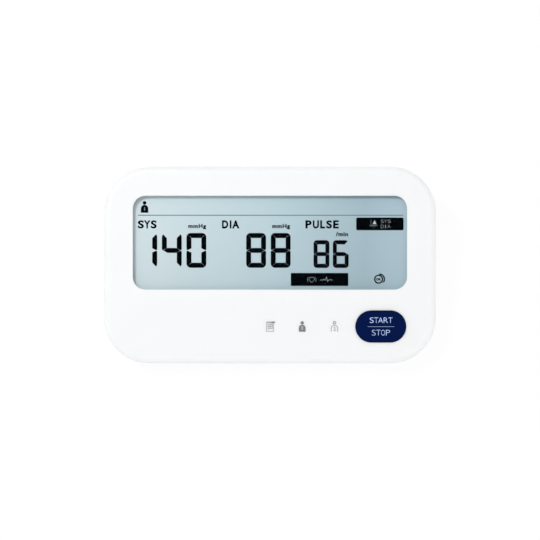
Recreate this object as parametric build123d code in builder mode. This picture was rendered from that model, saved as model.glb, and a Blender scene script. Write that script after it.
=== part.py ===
from build123d import *

import os
from math import cos, radians, sin

# Table-top blood pressure monitor: a white two-part housing with a wide display in its tilted
# face, one start/stop key, a battery bay underneath, and a pump, a valve and a circuit board
# inside. Millimetres. +Z is up, +X is the user's right and the user sits at -Y. The origin is
# the centre of the bounding box's bottom, on the table.

os.makedirs("parts", exist_ok=True)

# ---------------------------------------------------------------------------------------------
# Driving dimensions
# ---------------------------------------------------------------------------------------------

# Housing. The face is a tilted plane; the front cover's walls stand square to it.
face_width = 180.0
face_height = 106.7
face_corner = 25.0
face_tilt = 20.0
front_height = 23.0
edge_round = 3.0
cover_depth = 15.0
cover_wall = 2.2

# Base cover. It tapers from the parting line to a smaller footprint that stands on feet.
reveal = 0.5
side_taper = 4.0
front_taper = 4.0
rear_taper = 1.75
base_corner = 21.0
base_wall = 2.2
base_chamfer = 1.0
foot_proud = 2.0
lip_height = 2.5
lip_wall = 1.2
lip_gap = 0.2

# Feet and case screws.
foot_radius = 5.0
foot_recess = 0.8
foot_gap = 0.2
foot_chamfer = 0.5
foot_side_inset = 14.0
foot_front_inset = 10.0
foot_rear_inset = 10.5
screw_head_radius = 2.75
screw_head_height = 2.0
screw_radius = 1.3
screw_bite = 9.0
screw_gap = 0.05
well_gap = 0.5
well_wall = 1.65
well_shoulder = 3.0
hole_gap = 0.3
hole_spare = 1.0
recess_length = 3.0
recess_width = 0.7
recess_depth = 1.1
boss_wall = 1.65
front_screw_side_inset = 6.0
front_screw_inset = 20.0
front_screw_top = 16.0
rear_screw_side_inset = 26.0
rear_screw_inset = 6.0
rear_screw_top = 30.0

# Window and display, all centred on one point of the face.
window_side_gap = 15.65
window_top_gap = 15.8
window_height = 50.9
window_corner = 7.0
pane_margin = 4.0
pane_thick = 1.5
tape_thick = 0.3
tape_margin = 0.5
seal_margin = 2.5
seal_inset = 0.8
seal_thick = 1.0
film_thick = 0.25
glass_margin = 3.0
glass_thick = 1.1
glass_ledge = 3.0
pane_gap = 0.3
pane_rib = 1.2
holder_front_gap = 0.3
holder_wall = 1.85
holder_shelf = 1.6
strip_thick = 2.0
strip_end_gap = 4.35
hook_thick = 0.8
hook_width = 6.0
hook_nose = 0.7

# Circuit board.
board_depth = 10.0
board_thick = 1.6
board_edge_gap = 0.2
board_side_gap = 16.0
board_front_gap = 7.35
board_step_lap = 1.5
board_lap = 1.0
board_tab_x = 35.0
board_tab_width = 9.0
board_tab_space = 1.2
board_screw_inset = 6.0
board_screw_radius = 1.1
board_screw_head_radius = 2.2
board_screw_head_height = 1.4
board_screw_bite = 5.0
board_boss_wall = 1.9
board_screw_gap = 0.3
board_screw_rise = 4.0

# Start/stop key and its switch.
key_width = 27.1
key_height = 16.9
key_side_gap = 29.9
key_room_share = 0.36
key_proud = 0.8
key_gap = 0.3
key_round = 0.6
key_shell = 1.6
key_flange = 1.6
key_flange_thick = 1.2
key_stop_gap = 0.05
key_guide = 1.15
key_guide_wall = 1.4
key_post_radius = 2.5
key_rib = 1.0
key_travel = 0.5
switch_size = 6.0
switch_body = 3.5
plunger_radius = 1.75
plunger_height = 1.5
plunger_sunk = 0.5
plunger_gap = 0.08

# Touch signs: three foam posts stand between the board and the face, left of the key.
touch_count = 3
touch_pitch = 17.4
touch_key_gap = 25.1
touch_rise = 0.3
touch_radius = 4.0

# Battery bay: four AA cells side by side.
cell_count = 4
cell_radius = 7.25
cell_length = 50.5
cell_nub_radius = 2.75
cell_nub = 1.0
cell_round = 0.5
cell_space = 0.9
cell_gap = 0.25
cell_ridge = 2.0
cell_lift = 0.3
bay_wall = 1.8
bay_side_gap = 0.2
bay_rear_gap = 6.2
contact_thick = 0.4
contact_play = 0.05
contact_width = 9.0
contact_low = 8.6
contact_high = 17.0
spring_reach = 5.5
spring_width = 5.0
spring_inset = 0.4
tab_width = 3.0
tab_height = 2.4

# Battery cover: it turns on two tongues in front and is held by a latch at the rear.
plate_thick = 2.0
plate_gap = 0.3
plate_side_lap = 2.2
plate_rear_lap = 2.0
plate_corner = 2.0
shelf_thick = 1.8
shelf_rim = 1.8
hinge_inset = 1.9
tongue_width = 8.0
tongue_thick = 1.2
tongue_reach = 3.0
tongue_lift = 0.2
tongue_root = 2.2
tongue_slot_height = 4.3
latch_width = 14.0
latch_length = 12.0
latch_slit = 1.0
latch_post = 1.2
latch_height = 5.3
latch_nose = 0.3
latch_nose_height = 1.0
latch_nose_run = 1.5
latch_top_gap = 1.0
latch_gap = 0.3
scoop_depth = 0.8
scoop_length = 9.0
scoop_inset = 3.0
scoop_side_gap = 0.5
grip_count = 3
grip_pitch = 2.4
grip_width = 0.9

# Air pump, lying along X at the right of the bay. Its shares are of the room from the bay to
# the base's side, and the motor's of the pump.
pump_end_share = 0.131
pump_gap_share = 0.064
motor_share = 0.667
magnet_share = 0.7
rotor_share = 0.58
sleeve_share = 0.8
pump_rear_inset = 26.5
pump_lift = 0.1
motor_radius = 12.0
motor_wall = 0.8
motor_bearing_radius = 3.0
motor_bearing = 1.5
end_bell_thick = 2.0
terminal_length = 2.0
blade_thick = 0.6
blade_width = 2.4
shaft_radius = 1.0
shaft_gap = 0.06
rotor_radius = 9.2
rotor_slot = 2.2
rotor_slot_length = 6.0
rotor_slot_inset = 2.0
commutator_radius = 3.0
commutator_length = 3.0
magnet_thick = 1.4
magnet_gap = 0.05
magnet_split = 7.0
cam_gap = 0.5
cam_radius = 5.5
cam_offset = 1.5
cam_thick = 4.0
head_radius = 12.5
head_wall = 1.7
head_chamfer = 0.8
diaphragm_thick = 1.0
cap_radius = 11.5
cap_thick = 4.0
cap_round = 1.0
nipple_rise = 7.2
sleeve_thick = 1.0
cradle_gap = 0.05
cradle_drop = 3.0
cradle_inset = 3.0
rib_thick = 1.6

# Air line: jack, valve, manifold and rubber tubes. The shares are of the room from the bay to
# the base's side.
manifold_share = 0.148
tube_share = 0.365
valve_share = 0.337
air_z = 15.0
jack_rear_inset = 30.5
jack_radius = 5.0
jack_bore_radius = 3.5
jack_bore_depth = 12.0
jack_body = 16.0
jack_flange_radius = 7.0
jack_flange_thick = 1.2
jack_flange_place = 4.5
jack_proud = 0.9
jack_wall_lean = 1.4
jack_taper = 2.0
jack_rib_inset = 5.0
jack_hole_gap = 0.2
nipple_radius = 1.45
nipple_length = 5.0
short_nipple = 3.0
passage_radius = 0.8
tube_radius = 2.4
tube_bore = 1.5
tube_gap = 0.3
manifold_radius = 3.5
manifold_front_reach = 4.0
manifold_rear_reach = 6.0
manifold_end_wall = 2.0
manifold_rib_front = 3.4
manifold_rib_rear = 4.2
valve_jack_gap = 13.0
valve_rib_inset = 4.0
valve_size = 12.0
valve_plate = 1.0
valve_bore = 2.2
coil_flange = 1.0
coil_sink = 0.5
valve_plunger_radius = 2.1
valve_plunger_chamfer = 0.4
valve_plunger_tail = 1.0
valve_travel = 0.8
valve_seat_gap = 0.1
nozzle_radius = 4.0
nozzle_length = 2.4
nozzle_chamber = 1.5
sensor_jack_gap = 8.64
sensor_size = 9.0
sensor_height = 4.5
sensor_nipple = 4.0
sensor_knee_rise = 4.2
tube_bend = 8.0
pump_tube_bend = 9.0
pump_tube_rear = 15.0
pump_tube_side = 6.5
pump_tube_turn = 16.0
pump_tube_rise = 9.0
pump_tube_cross = 26.5
pump_tube_back = 8.0
pump_tube_crossing = 7.6
pump_tube_straight = 22.0

# DC jack in the right wall.
dc_rear_inset = 55.5
dc_z = 13.0
dc_nose_radius = 4.5
dc_proud = 0.3
dc_wall_lean = 1.7
dc_rib_inset = 4.0
dc_bore_radius = 3.15
dc_bore_depth = 10.0
dc_pin_radius = 1.0
dc_pin_length = 9.0
dc_pin_root = 2.0
dc_pin_root_radius = 1.5
dc_pin_gap = 0.02
dc_pin_chamfer = 0.3
dc_body_width = 9.0
dc_body_height = 11.0
dc_body_length = 13.7
dc_nose_length = 4.1
dc_hole_gap = 0.2

# Parts on the back of the board. A drop is counted down from the window's middle, a rise up
# from the board's front edge.
chip_x = -15.0
chip_drop = 12.1
chip_size = 12.0
chip_thick = 1.6
memory_x = 4.0
memory_width = 6.0
memory_height = 5.0
buzzer_rise = 9.0
buzzer_radius = 6.0
buzzer_height = 5.0
buzzer_hole_radius = 1.0
buzzer_hole_depth = 1.5
capacitor_x = -15.0
capacitor_pitch = 10.0
capacitor_rise = 8.0
capacitor_radius = 3.2
capacitor_height = 7.0
pump_header_inset = 23.0
pump_header_drop = 20.1
valve_header_inset = 12.0
valve_header_drop = 24.1
battery_header_rise = 21.9
dc_header_inset = 12.2
dc_header_drop = 36.1
header_width = 6.4
header_depth = 3.6
header_height = 5.0

# Wire leads, two wires each.
lead_radius = 0.6
lead_pitch = 2.5
lead_bend = 2.0
lead_gap = 0.05
lead_straight = 5.0
battery_lead_straight = 4.0
pump_lead_spread = 4.0
pump_lead_side = 8.0
pump_lead_front = 9.0
pump_lead_rise = 2.5
valve_lead_shift = 2.0
valve_lead_front = 9.0
valve_lead_rise = 1.0
battery_lead_drop = 1.0
battery_lead_rise = 9.0
battery_lead_side = 8.0
battery_lead_rear = 12.0
battery_lead_top = 11.0
dc_lead_straight = 3.5
dc_lead_side = 3.0
dc_lead_front = 6.0
dc_lead_drop = 0.5

# ---------------------------------------------------------------------------------------------
# Places worked out from the driving dimensions
# ---------------------------------------------------------------------------------------------

tilt = radians(face_tilt)
face_z = front_height + face_height / 2 * sin(tilt)
front_reach = face_height / 2 * cos(tilt) - edge_round * (cos(tilt) + sin(tilt) - 1)
rear_reach = face_height / 2 * cos(tilt) + cover_depth * sin(tilt)
face_y = (front_reach - rear_reach) / 2
face_plane = Plane(origin=(0, face_y, face_z), x_dir=(1, 0, 0), z_dir=(0, -sin(tilt), cos(tilt)))
parting_plane = face_plane.offset(-cover_depth)


def behind_face(depth):
    """The plane that lies this deep behind the face, its x across and its y up the slope."""
    return face_plane.offset(-depth)


def upright(y):
    """The upright plane at this y, seen from the user's side: x across and y up."""
    return Plane.XZ.offset(-y)


def face_point(x, v, depth):
    """The point x across, v up the slope and this deep behind the face."""
    return (
        x,
        face_y + v * cos(tilt) + depth * sin(tilt),
        face_z + v * sin(tilt) - depth * cos(tilt),
    )


# Footprint of the base.
parting_front = face_point(0, -face_height / 2, cover_depth)[1]
parting_rear = face_point(0, face_height / 2, cover_depth)[1]
base_width = face_width - 2 * side_taper
base_front = parting_front + front_taper
base_rear = parting_rear - rear_taper
base_length = base_rear - base_front
base_y = (base_rear + base_front) / 2
floor_top = foot_proud + base_wall
floor_root = foot_proud + base_wall / 2
lip_inset = cover_wall + lip_gap

# Case screws and feet, left and right.
front_screws = [
    (side * (base_width / 2 - front_screw_side_inset), base_front + front_screw_inset)
    for side in (-1, 1)
]
rear_screws = [
    (side * (base_width / 2 - rear_screw_side_inset), base_rear - rear_screw_inset)
    for side in (-1, 1)
]
screw_sets = [(front_screws, front_screw_top), (rear_screws, rear_screw_top)]
foot_places = [
    (side * (base_width / 2 - foot_side_inset), y)
    for side in (-1, 1)
    for y in (base_front + foot_front_inset, base_rear - foot_rear_inset)
]
boss_radius = screw_radius + boss_wall
well_radius = screw_head_radius + well_gap
column_radius = well_radius + well_wall

# Display stack, counted from the face towards the board.
window_width = face_width - 2 * window_side_gap
window_v = face_height / 2 - window_top_gap - window_height / 2
pane_front = cover_wall + tape_thick
pane_back = pane_front + pane_thick
pane_width = window_width + 2 * pane_margin
pane_height = window_height + 2 * pane_margin
film_front = pane_back + seal_thick
glass_front = film_front + film_thick
glass_step = glass_front + glass_thick
glass_back = glass_step + glass_thick
stack_back = glass_back + film_thick
glass_width = window_width + 2 * glass_margin
glass_height = window_height + 2 * glass_margin
rear_glass_height = glass_height - 2 * glass_ledge
holder_front = pane_back + holder_front_gap
holder_width = glass_width + 2 * (pane_gap + holder_wall)
holder_height = glass_height + 2 * (pane_gap + holder_wall)
strip_length = window_width - 2 * strip_end_gap
strip_places = [(0, window_v + side * (glass_height - glass_ledge) / 2) for side in (-1, 1)]

# Board outline: wide behind the display, narrower in front of it, with two tabs at the top.
board_back = board_depth + board_thick
board_wide = holder_width - 2 * (hook_thick + board_edge_gap)
board_narrow = face_width - 2 * board_side_gap
board_low_v = board_front_gap - face_height / 2
board_step_v = window_v - holder_height / 2 + board_step_lap
board_top_v = window_v + holder_height / 2 - board_edge_gap
board_boss_radius = board_screw_radius + board_boss_wall
board_tab_v = board_top_v + board_boss_radius + board_tab_space

# Key: its guide has a share of the room between the window's rib and the front wall above it.
# The touch signs stand in a row to its left.
key_x = face_width / 2 - key_side_gap
guide_width = key_width + 2 * (key_gap + key_guide_wall)
guide_height = key_height + 2 * (key_gap + key_guide_wall)
key_room_top = window_v - window_height / 2 - pane_margin - pane_gap - pane_rib
key_room = key_room_top + face_height / 2 - cover_wall - guide_height
key_v = key_room_top - key_room_share * key_room - guide_height / 2
touch_places = [
    (key_x - touch_key_gap - number * touch_pitch, key_v + touch_rise)
    for number in range(touch_count)
]
board_screws = [
    (board_screw_inset - board_narrow / 2, board_low_v + board_screw_inset),
    (key_x - touch_key_gap - touch_pitch / 2, board_low_v + board_screw_rise),
    (-board_tab_x, board_tab_v),
    (board_tab_x, board_tab_v),
]

# Key and switch, counted from the face towards the board.
guide_back = cover_wall + key_guide
flange_front = guide_back + key_stop_gap
flange_back = flange_front + key_flange_thick
switch_front = board_depth - switch_body
plunger_top = switch_front - plunger_height

# Battery bay.
cell_pitch = 2 * cell_radius + cell_space
cell_places = [cell_pitch * (number - (cell_count - 1) / 2) for number in range(cell_count)]
plate_top = foot_proud + plate_thick
end_cells = (cell_places[0], cell_places[-1])
cell_z = plate_top + cell_lift + cell_radius
channel_radius = cell_radius + cell_gap
bay_inside = cell_pitch * (cell_count - 1) + 2 * (channel_radius + bay_side_gap)
bay_side = bay_inside / 2 + bay_wall
side_room = base_width / 2 - bay_side
bay_length = cell_length + spring_reach + 2 * contact_thick + 3 * contact_play
bay_rear = base_rear - bay_rear_gap
bay_front = bay_rear - bay_length
bay_y = (bay_front + bay_rear) / 2
bay_roof = cell_z + channel_radius + bay_wall
tab_top = bay_roof + tab_height
hinge_y = bay_front - hinge_inset
hinge_z = foot_proud + plate_thick / 2
hinge_round = plate_thick / 2
plate_width = bay_inside + 2 * plate_side_lap
plate_rear = bay_rear + plate_rear_lap
opening_width = plate_width + 2 * plate_gap
opening_front = hinge_y - hinge_round - plate_gap
opening_rear = plate_rear + plate_gap
shelf_top = floor_top + shelf_thick
tongue_places = [side * cell_pitch for side in (-1, 1)]
tongue_low = floor_top + tongue_lift
tongue_top = tongue_low + tongue_thick
tongue_front = opening_front - tongue_reach

# Pump, counted along X from its right end to the cap beside the bay.
pump_y = base_rear - pump_rear_inset
pump_z = floor_top + motor_radius + sleeve_thick + pump_lift
pump_right = base_width / 2 - pump_end_share * side_room
motor_right = pump_right - end_bell_thick
cap_left = bay_side + pump_gap_share * side_room
diaphragm_left = cap_left + cap_thick
head_left = diaphragm_left + diaphragm_thick
motor_length = motor_share * (motor_right - head_left)
motor_left = motor_right - motor_length
head_length = motor_left - head_left
motor_mid = (motor_left + motor_right) / 2
magnet_length = magnet_share * motor_length
rotor_length = rotor_share * motor_length
sleeve_length = sleeve_share * motor_length
pump_axis = Axis((0, pump_y, pump_z), (1, 0, 0))
pump_section = Plane(origin=(0, pump_y, pump_z), x_dir=(1, 0, 0), z_dir=(0, -1, 0))
pump_ribs = [motor_mid + side * (sleeve_length / 2 - cradle_inset) for side in (-1, 1)]

# Air line.
jack_y = base_rear - jack_rear_inset
jack_mouth = -(base_width / 2 + jack_wall_lean + jack_proud)
jack_back = jack_mouth + jack_body
jack_axis = Axis((0, jack_y, air_z), (1, 0, 0))
jack_section = Plane(origin=(jack_mouth, jack_y, air_z), x_dir=(1, 0, 0), z_dir=(0, -1, 0))
manifold_x = -(bay_side + manifold_share * side_room)
valve_y = jack_y - valve_jack_gap
valve_length = valve_share * side_room
valve_right = manifold_x - tube_share * side_room
valve_left = valve_right - valve_length
valve_mid = (valve_left + valve_right) / 2
manifold_front = valve_y - manifold_front_reach
manifold_rear = jack_y + manifold_rear_reach
manifold_length = manifold_rear - manifold_front
valve_axis = Axis((0, valve_y, air_z), (1, 0, 0))
valve_section = Plane(origin=(0, valve_y, air_z), x_dir=(1, 0, 0), z_dir=(0, -1, 0))
valve_ribs = (valve_left + valve_rib_inset, valve_right - valve_rib_inset)
nozzle_right = valve_right + nozzle_length
sensor_back = board_back + sensor_height
sensor_port_y = jack_y - sensor_jack_gap
sensor_knee_z = air_z + manifold_radius + tube_gap + sensor_knee_rise
sensor_v = (sensor_port_y - face_y) * cos(tilt) + (sensor_knee_z - face_z) * sin(tilt)
manifold_ribs = (sensor_port_y + manifold_rib_front, jack_y + manifold_rib_rear)

# DC jack.
dc_y = base_rear - dc_rear_inset
dc_mouth = base_width / 2 + dc_wall_lean + dc_proud
dc_front = dc_mouth - dc_nose_length
dc_back = dc_front - dc_body_length

# Parts on the back of the board, each at its place (x, v) on the face.
chip_place = (chip_x, window_v - chip_drop)
memory_place = (memory_x, window_v - chip_drop)
buzzer_place = (touch_places[1][0], board_low_v + buzzer_rise)
capacitor_places = [
    (capacitor_x + side * capacitor_pitch / 2, board_low_v + capacitor_rise) for side in (-1, 1)
]
pump_header = (pump_right - pump_header_inset, window_v - pump_header_drop)
valve_header = (valve_header_inset - board_narrow / 2, window_v - valve_header_drop)
battery_header = (0, window_v + battery_header_rise)
dc_header = (dc_back - dc_header_inset, window_v - dc_header_drop)

# ---------------------------------------------------------------------------------------------
# Front cover: a moulded tray with the window, the key's guide and all its bosses
# ---------------------------------------------------------------------------------------------

# The case screws stand upright while the face is tilted, so their bosses are trimmed by it.
with BuildPart() as case_bosses:
    for places, meeting in screw_sets:
        with BuildSketch(Plane.XY.offset(meeting)):
            with Locations(*places):
                Circle(boss_radius)
        extrude(amount=face_height)
    with BuildSketch(behind_face(cover_wall / 2)):
        RectangleRounded(
            face_width - cover_wall, face_height - cover_wall, face_corner - cover_wall / 2
        )
    extrude(amount=-face_height, mode=Mode.INTERSECT)

with BuildPart() as front_cover:
    with BuildSketch(face_plane):
        RectangleRounded(face_width, face_height, face_corner)
    extrude(amount=-cover_depth)
    top_edges = front_cover.faces().sort_by(Axis((0, 0, 0), tuple(face_plane.z_dir)))[-1].edges()
    fillet(top_edges, edge_round)
    with BuildSketch(behind_face(cover_wall)):
        RectangleRounded(
            face_width - 2 * cover_wall, face_height - 2 * cover_wall, face_corner - cover_wall
        )
    extrude(amount=-cover_depth, mode=Mode.SUBTRACT)
    add(case_bosses.part)
    # Rib that locates the window pane.
    with BuildSketch(behind_face(pane_back)):
        with Locations((0, window_v)):
            Rectangle(
                pane_width + 2 * (pane_gap + pane_rib), pane_height + 2 * (pane_gap + pane_rib)
            )
            Rectangle(pane_width + 2 * pane_gap, pane_height + 2 * pane_gap, mode=Mode.SUBTRACT)
    extrude(amount=pane_back - cover_wall / 2)
    # Collar that guides the key.
    with BuildSketch(behind_face(guide_back)):
        with Locations((key_x, key_v)):
            SlotOverall(guide_width, guide_height)
    extrude(amount=guide_back - cover_wall / 2)
    # Bosses that carry the board.
    with BuildSketch(behind_face(board_depth)):
        with Locations(*board_screws):
            Circle(board_boss_radius)
    extrude(amount=board_depth - cover_wall / 2)
    with BuildSketch(behind_face(board_depth)):
        with Locations(*board_screws):
            Circle(board_screw_radius + screw_gap)
    extrude(amount=board_screw_bite + hole_spare / 2, mode=Mode.SUBTRACT)
    # Openings for the window and the key.
    with BuildSketch(face_plane):
        with Locations((0, window_v)):
            RectangleRounded(window_width, window_height, window_corner)
    extrude(amount=-2 * cover_wall, mode=Mode.SUBTRACT)
    with BuildSketch(face_plane):
        with Locations((key_x, key_v)):
            SlotOverall(key_width + 2 * key_gap, key_height + 2 * key_gap)
    extrude(amount=-2 * guide_back, mode=Mode.SUBTRACT)
    # Screw holes in the case bosses.
    for places, meeting in screw_sets:
        with BuildSketch(Plane.XY.offset(meeting)):
            with Locations(*places):
                Circle(screw_radius + screw_gap)
        extrude(amount=screw_bite + hole_spare, mode=Mode.SUBTRACT)

front_cover.part.label = "front_cover"
export_step(front_cover.part, "parts/front_cover.step")

# ---------------------------------------------------------------------------------------------
# Base cover: a lofted tub between the tilted parting plane and the level footprint
# ---------------------------------------------------------------------------------------------

with BuildPart() as base_cover:
    with BuildSketch(parting_plane):
        RectangleRounded(face_width - 2 * reveal, face_height - 2 * reveal, face_corner - reveal)
    with BuildSketch(Plane.XY.offset(foot_proud + base_chamfer)):
        with Locations((0, base_y)):
            RectangleRounded(base_width, base_length, base_corner)
    with BuildSketch(Plane.XY.offset(foot_proud)):
        with Locations((0, base_y)):
            RectangleRounded(
                base_width - 2 * base_chamfer,
                base_length - 2 * base_chamfer,
                base_corner - base_chamfer,
            )
    loft(ruled=True)
    # Inside of the tub.
    inside_inset = lip_inset + lip_wall
    with BuildSketch(parting_plane):
        RectangleRounded(
            face_width - 2 * inside_inset, face_height - 2 * inside_inset, face_corner - inside_inset
        )
    with BuildSketch(Plane.XY.offset(floor_top)):
        with Locations((0, base_y)):
            RectangleRounded(
                base_width - 2 * base_wall, base_length - 2 * base_wall, base_corner - base_wall
            )
    loft(ruled=True, mode=Mode.SUBTRACT)
    # Lip that locates the front cover.
    with BuildSketch(parting_plane):
        RectangleRounded(
            face_width - 2 * lip_inset, face_height - 2 * lip_inset, face_corner - lip_inset
        )
        RectangleRounded(
            face_width - 2 * inside_inset,
            face_height - 2 * inside_inset,
            face_corner - inside_inset,
            mode=Mode.SUBTRACT,
        )
    extrude(amount=lip_height)
    # Screw columns, and the battery bay with the shelf that its cover closes against.
    for places, meeting in screw_sets:
        with BuildSketch(Plane.XY.offset(floor_root)):
            with Locations(*places):
                Circle(column_radius)
        extrude(amount=meeting - floor_root)
    with BuildSketch(Plane.XY.offset(floor_root)):
        with Locations((0, bay_y)):
            Rectangle(bay_inside + 2 * bay_wall, bay_length + 2 * bay_wall)
    extrude(amount=bay_roof - floor_root)
    with BuildSketch(Plane.XY.offset(floor_root)):
        with Locations((0, (opening_front + opening_rear) / 2)):
            Rectangle(opening_width + 2 * shelf_rim, opening_rear - opening_front + 2 * shelf_rim)
    extrude(amount=shelf_top - floor_root)
    # Cradles: ribs across the floor with a seat for what lies in them.
    for rib_x in pump_ribs:
        with BuildSketch(Plane.YZ.offset(rib_x - rib_thick / 2)):
            with Locations((pump_y, (floor_root + pump_z - cradle_drop) / 2)):
                Rectangle(
                    2 * (motor_radius + sleeve_thick + rib_thick), pump_z - cradle_drop - floor_root
                )
            with Locations((pump_y, pump_z)):
                Circle(motor_radius + sleeve_thick + cradle_gap, mode=Mode.SUBTRACT)
        extrude(amount=rib_thick)
    for rib_x in valve_ribs:
        with BuildSketch(Plane.YZ.offset(rib_x - rib_thick / 2)):
            with Locations((valve_y, (floor_root + air_z) / 2)):
                Rectangle(valve_size + 2 * rib_thick, air_z - floor_root)
            with Locations((valve_y, air_z)):
                Rectangle(
                    valve_size + 2 * cradle_gap, valve_size + 2 * cradle_gap, mode=Mode.SUBTRACT
                )
        extrude(amount=rib_thick)
    for rib_y in manifold_ribs:
        with BuildSketch(upright(rib_y - rib_thick / 2)):
            with Locations((manifold_x, (floor_root + air_z) / 2)):
                Rectangle(2 * (manifold_radius + rib_thick), air_z - floor_root)
            with Locations((manifold_x, air_z)):
                Circle(manifold_radius + cradle_gap, mode=Mode.SUBTRACT)
        extrude(amount=-rib_thick)
    with BuildSketch(Plane.YZ.offset(jack_back - jack_rib_inset)):
        with Locations((jack_y, (floor_root + air_z) / 2)):
            Rectangle(2 * (jack_radius + rib_thick), air_z - floor_root)
        with Locations((jack_y, air_z)):
            Circle(jack_radius + cradle_gap, mode=Mode.SUBTRACT)
    extrude(amount=rib_thick)
    with BuildSketch(Plane.YZ.offset(dc_back + dc_rib_inset)):
        with Locations((dc_y, (floor_root + dc_z) / 2)):
            Rectangle(dc_body_width + 2 * rib_thick, dc_z - floor_root)
        with Locations((dc_y, dc_z)):
            Rectangle(
                dc_body_width + 2 * cradle_gap, dc_body_height + 2 * cradle_gap, mode=Mode.SUBTRACT
            )
    extrude(amount=rib_thick)
    # Inside of the bay: one arched channel for each cell.
    with BuildSketch(upright(bay_front)):
        with Locations((0, (cell_z + cell_ridge) / 2)):
            Rectangle(bay_inside, cell_z + cell_ridge)
        with Locations(*[(x, cell_z) for x in cell_places]):
            Circle(channel_radius)
    extrude(amount=-bay_length, mode=Mode.SUBTRACT)
    with BuildSketch(Plane.XY):
        with Locations((0, (opening_front + opening_rear) / 2)):
            RectangleRounded(opening_width, opening_rear - opening_front, plate_corner + plate_gap)
        with Locations((0, (opening_front + bay_y) / 2)):
            Rectangle(opening_width, bay_y - opening_front)
    extrude(amount=floor_top, mode=Mode.SUBTRACT)
    # Slots for the battery cover's tongues, and the catch for its latch.
    with BuildSketch(Plane.XY.offset(floor_top)):
        with Locations(*[(x, (bay_front + tongue_front) / 2 - plate_gap) for x in tongue_places]):
            Rectangle(tongue_width + 4 * plate_gap, bay_front - tongue_front + 4 * plate_gap)
    extrude(amount=tongue_slot_height, mode=Mode.SUBTRACT)
    with BuildSketch(Plane.XY.offset(floor_top)):
        with Locations((0, (bay_rear + opening_rear) / 2)):
            Rectangle(latch_width, opening_rear - bay_rear)
    extrude(amount=latch_height, mode=Mode.SUBTRACT)
    # Openings for the solder tabs of the two end contacts, in the bay's roof.
    with BuildSketch(Plane.XY.offset(cell_z)):
        with Locations(*[(x, bay_rear - contact_thick / 2) for x in end_cells]):
            Rectangle(tab_width + 2 * cell_gap, contact_thick + 2 * cell_gap)
    extrude(amount=bay_roof, mode=Mode.SUBTRACT)
    # Screw wells from below, with a shoulder for the head.
    for places, meeting in screw_sets:
        with BuildSketch(Plane.XY):
            with Locations(*places):
                Circle(well_radius)
        extrude(amount=meeting - well_shoulder, mode=Mode.SUBTRACT)
        with BuildSketch(Plane.XY):
            with Locations(*places):
                Circle(screw_radius + hole_gap)
        extrude(amount=meeting + hole_spare, mode=Mode.SUBTRACT)
    # Foot recesses and the two jack holes.
    with BuildSketch(Plane.XY):
        with Locations(*foot_places):
            Circle(foot_radius + foot_gap)
    extrude(amount=foot_proud + foot_recess, mode=Mode.SUBTRACT)
    with BuildSketch(Plane.YZ.offset(-face_width / 2)):
        with Locations((jack_y, air_z)):
            Circle(jack_radius + jack_hole_gap)
    extrude(amount=face_width / 2 + jack_mouth + jack_flange_place, mode=Mode.SUBTRACT)
    with BuildSketch(Plane.YZ.offset(dc_front)):
        with Locations((dc_y, dc_z)):
            Circle(dc_nose_radius + dc_hole_gap)
    extrude(amount=face_width / 2 - dc_front, mode=Mode.SUBTRACT)

base_cover.part.label = "base_cover"
export_step(base_cover.part, "parts/base_cover.step")

# ---------------------------------------------------------------------------------------------
# Battery cover, feet and case screws
# ---------------------------------------------------------------------------------------------

with BuildPart() as battery_cover:
    with BuildSketch(Plane.XY.offset(foot_proud)):
        with Locations((0, (hinge_y + plate_rear) / 2)):
            Rectangle(plate_width, plate_rear - hinge_y)
    extrude(amount=plate_thick)
    fillet(battery_cover.edges().filter_by(Axis.Z).group_by(Axis.Y)[-1], plate_corner)
    # The front edge is round, about the line that the cover turns on.
    with BuildSketch(Plane.YZ.offset(-plate_width / 2)):
        with Locations((hinge_y, hinge_z)):
            Circle(hinge_round)
    extrude(amount=plate_width)
    # Tongues: up from the plate, then forward over the floor's edge.
    for tongue_x in tongue_places:
        with BuildSketch(Plane.YZ.offset(tongue_x - tongue_width / 2)):
            with BuildLine():
                Polyline(
                    (hinge_y, hinge_z),
                    (hinge_y + tongue_root, hinge_z),
                    (hinge_y + tongue_root, tongue_top),
                    (tongue_front, tongue_top),
                    (tongue_front, tongue_low),
                    (hinge_y, tongue_low),
                    close=True,
                )
            make_face()
        extrude(amount=tongue_width)
    # Latch: a springy tab between two slits, with a post and a nose at its free end.
    with BuildSketch(Plane.XY.offset(foot_proud)):
        for side in (-1, 1):
            with Locations((side * (latch_width - latch_slit) / 2, plate_rear - latch_length / 2)):
                Rectangle(latch_slit, latch_length)
    extrude(amount=plate_thick, mode=Mode.SUBTRACT)
    post_width = latch_width - 2 * latch_slit - 2 * latch_gap
    post_rear = plate_rear - latch_gap
    post_top = plate_top + latch_height - latch_top_gap
    nose_top = plate_top + latch_height - latch_nose_height
    with BuildSketch(Plane.YZ.offset(-post_width / 2)):
        with BuildLine():
            Polyline(
                (post_rear - latch_post, hinge_z),
                (post_rear, hinge_z),
                (post_rear, nose_top - latch_nose_run),
                (post_rear + latch_nose, nose_top - latch_nose_run),
                (post_rear, post_top),
                (post_rear - latch_post, post_top),
                close=True,
            )
        make_face()
    extrude(amount=post_width)
    # Finger scoop under the latch, with grip ribs left standing in it.
    scoop_y = plate_rear - latch_length + scoop_inset
    with BuildSketch(Plane.XY.offset(foot_proud)):
        with Locations((0, scoop_y)):
            SlotOverall(post_width - 2 * scoop_side_gap, scoop_length)
        with GridLocations(0, grip_pitch, 1, grip_count):
            with Locations((0, scoop_y)):
                Rectangle(post_width, grip_width, mode=Mode.SUBTRACT)
    extrude(amount=scoop_depth, mode=Mode.SUBTRACT)

battery_cover.part.label = "battery_cover"
export_step(battery_cover.part, "parts/battery_cover.step")

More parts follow.
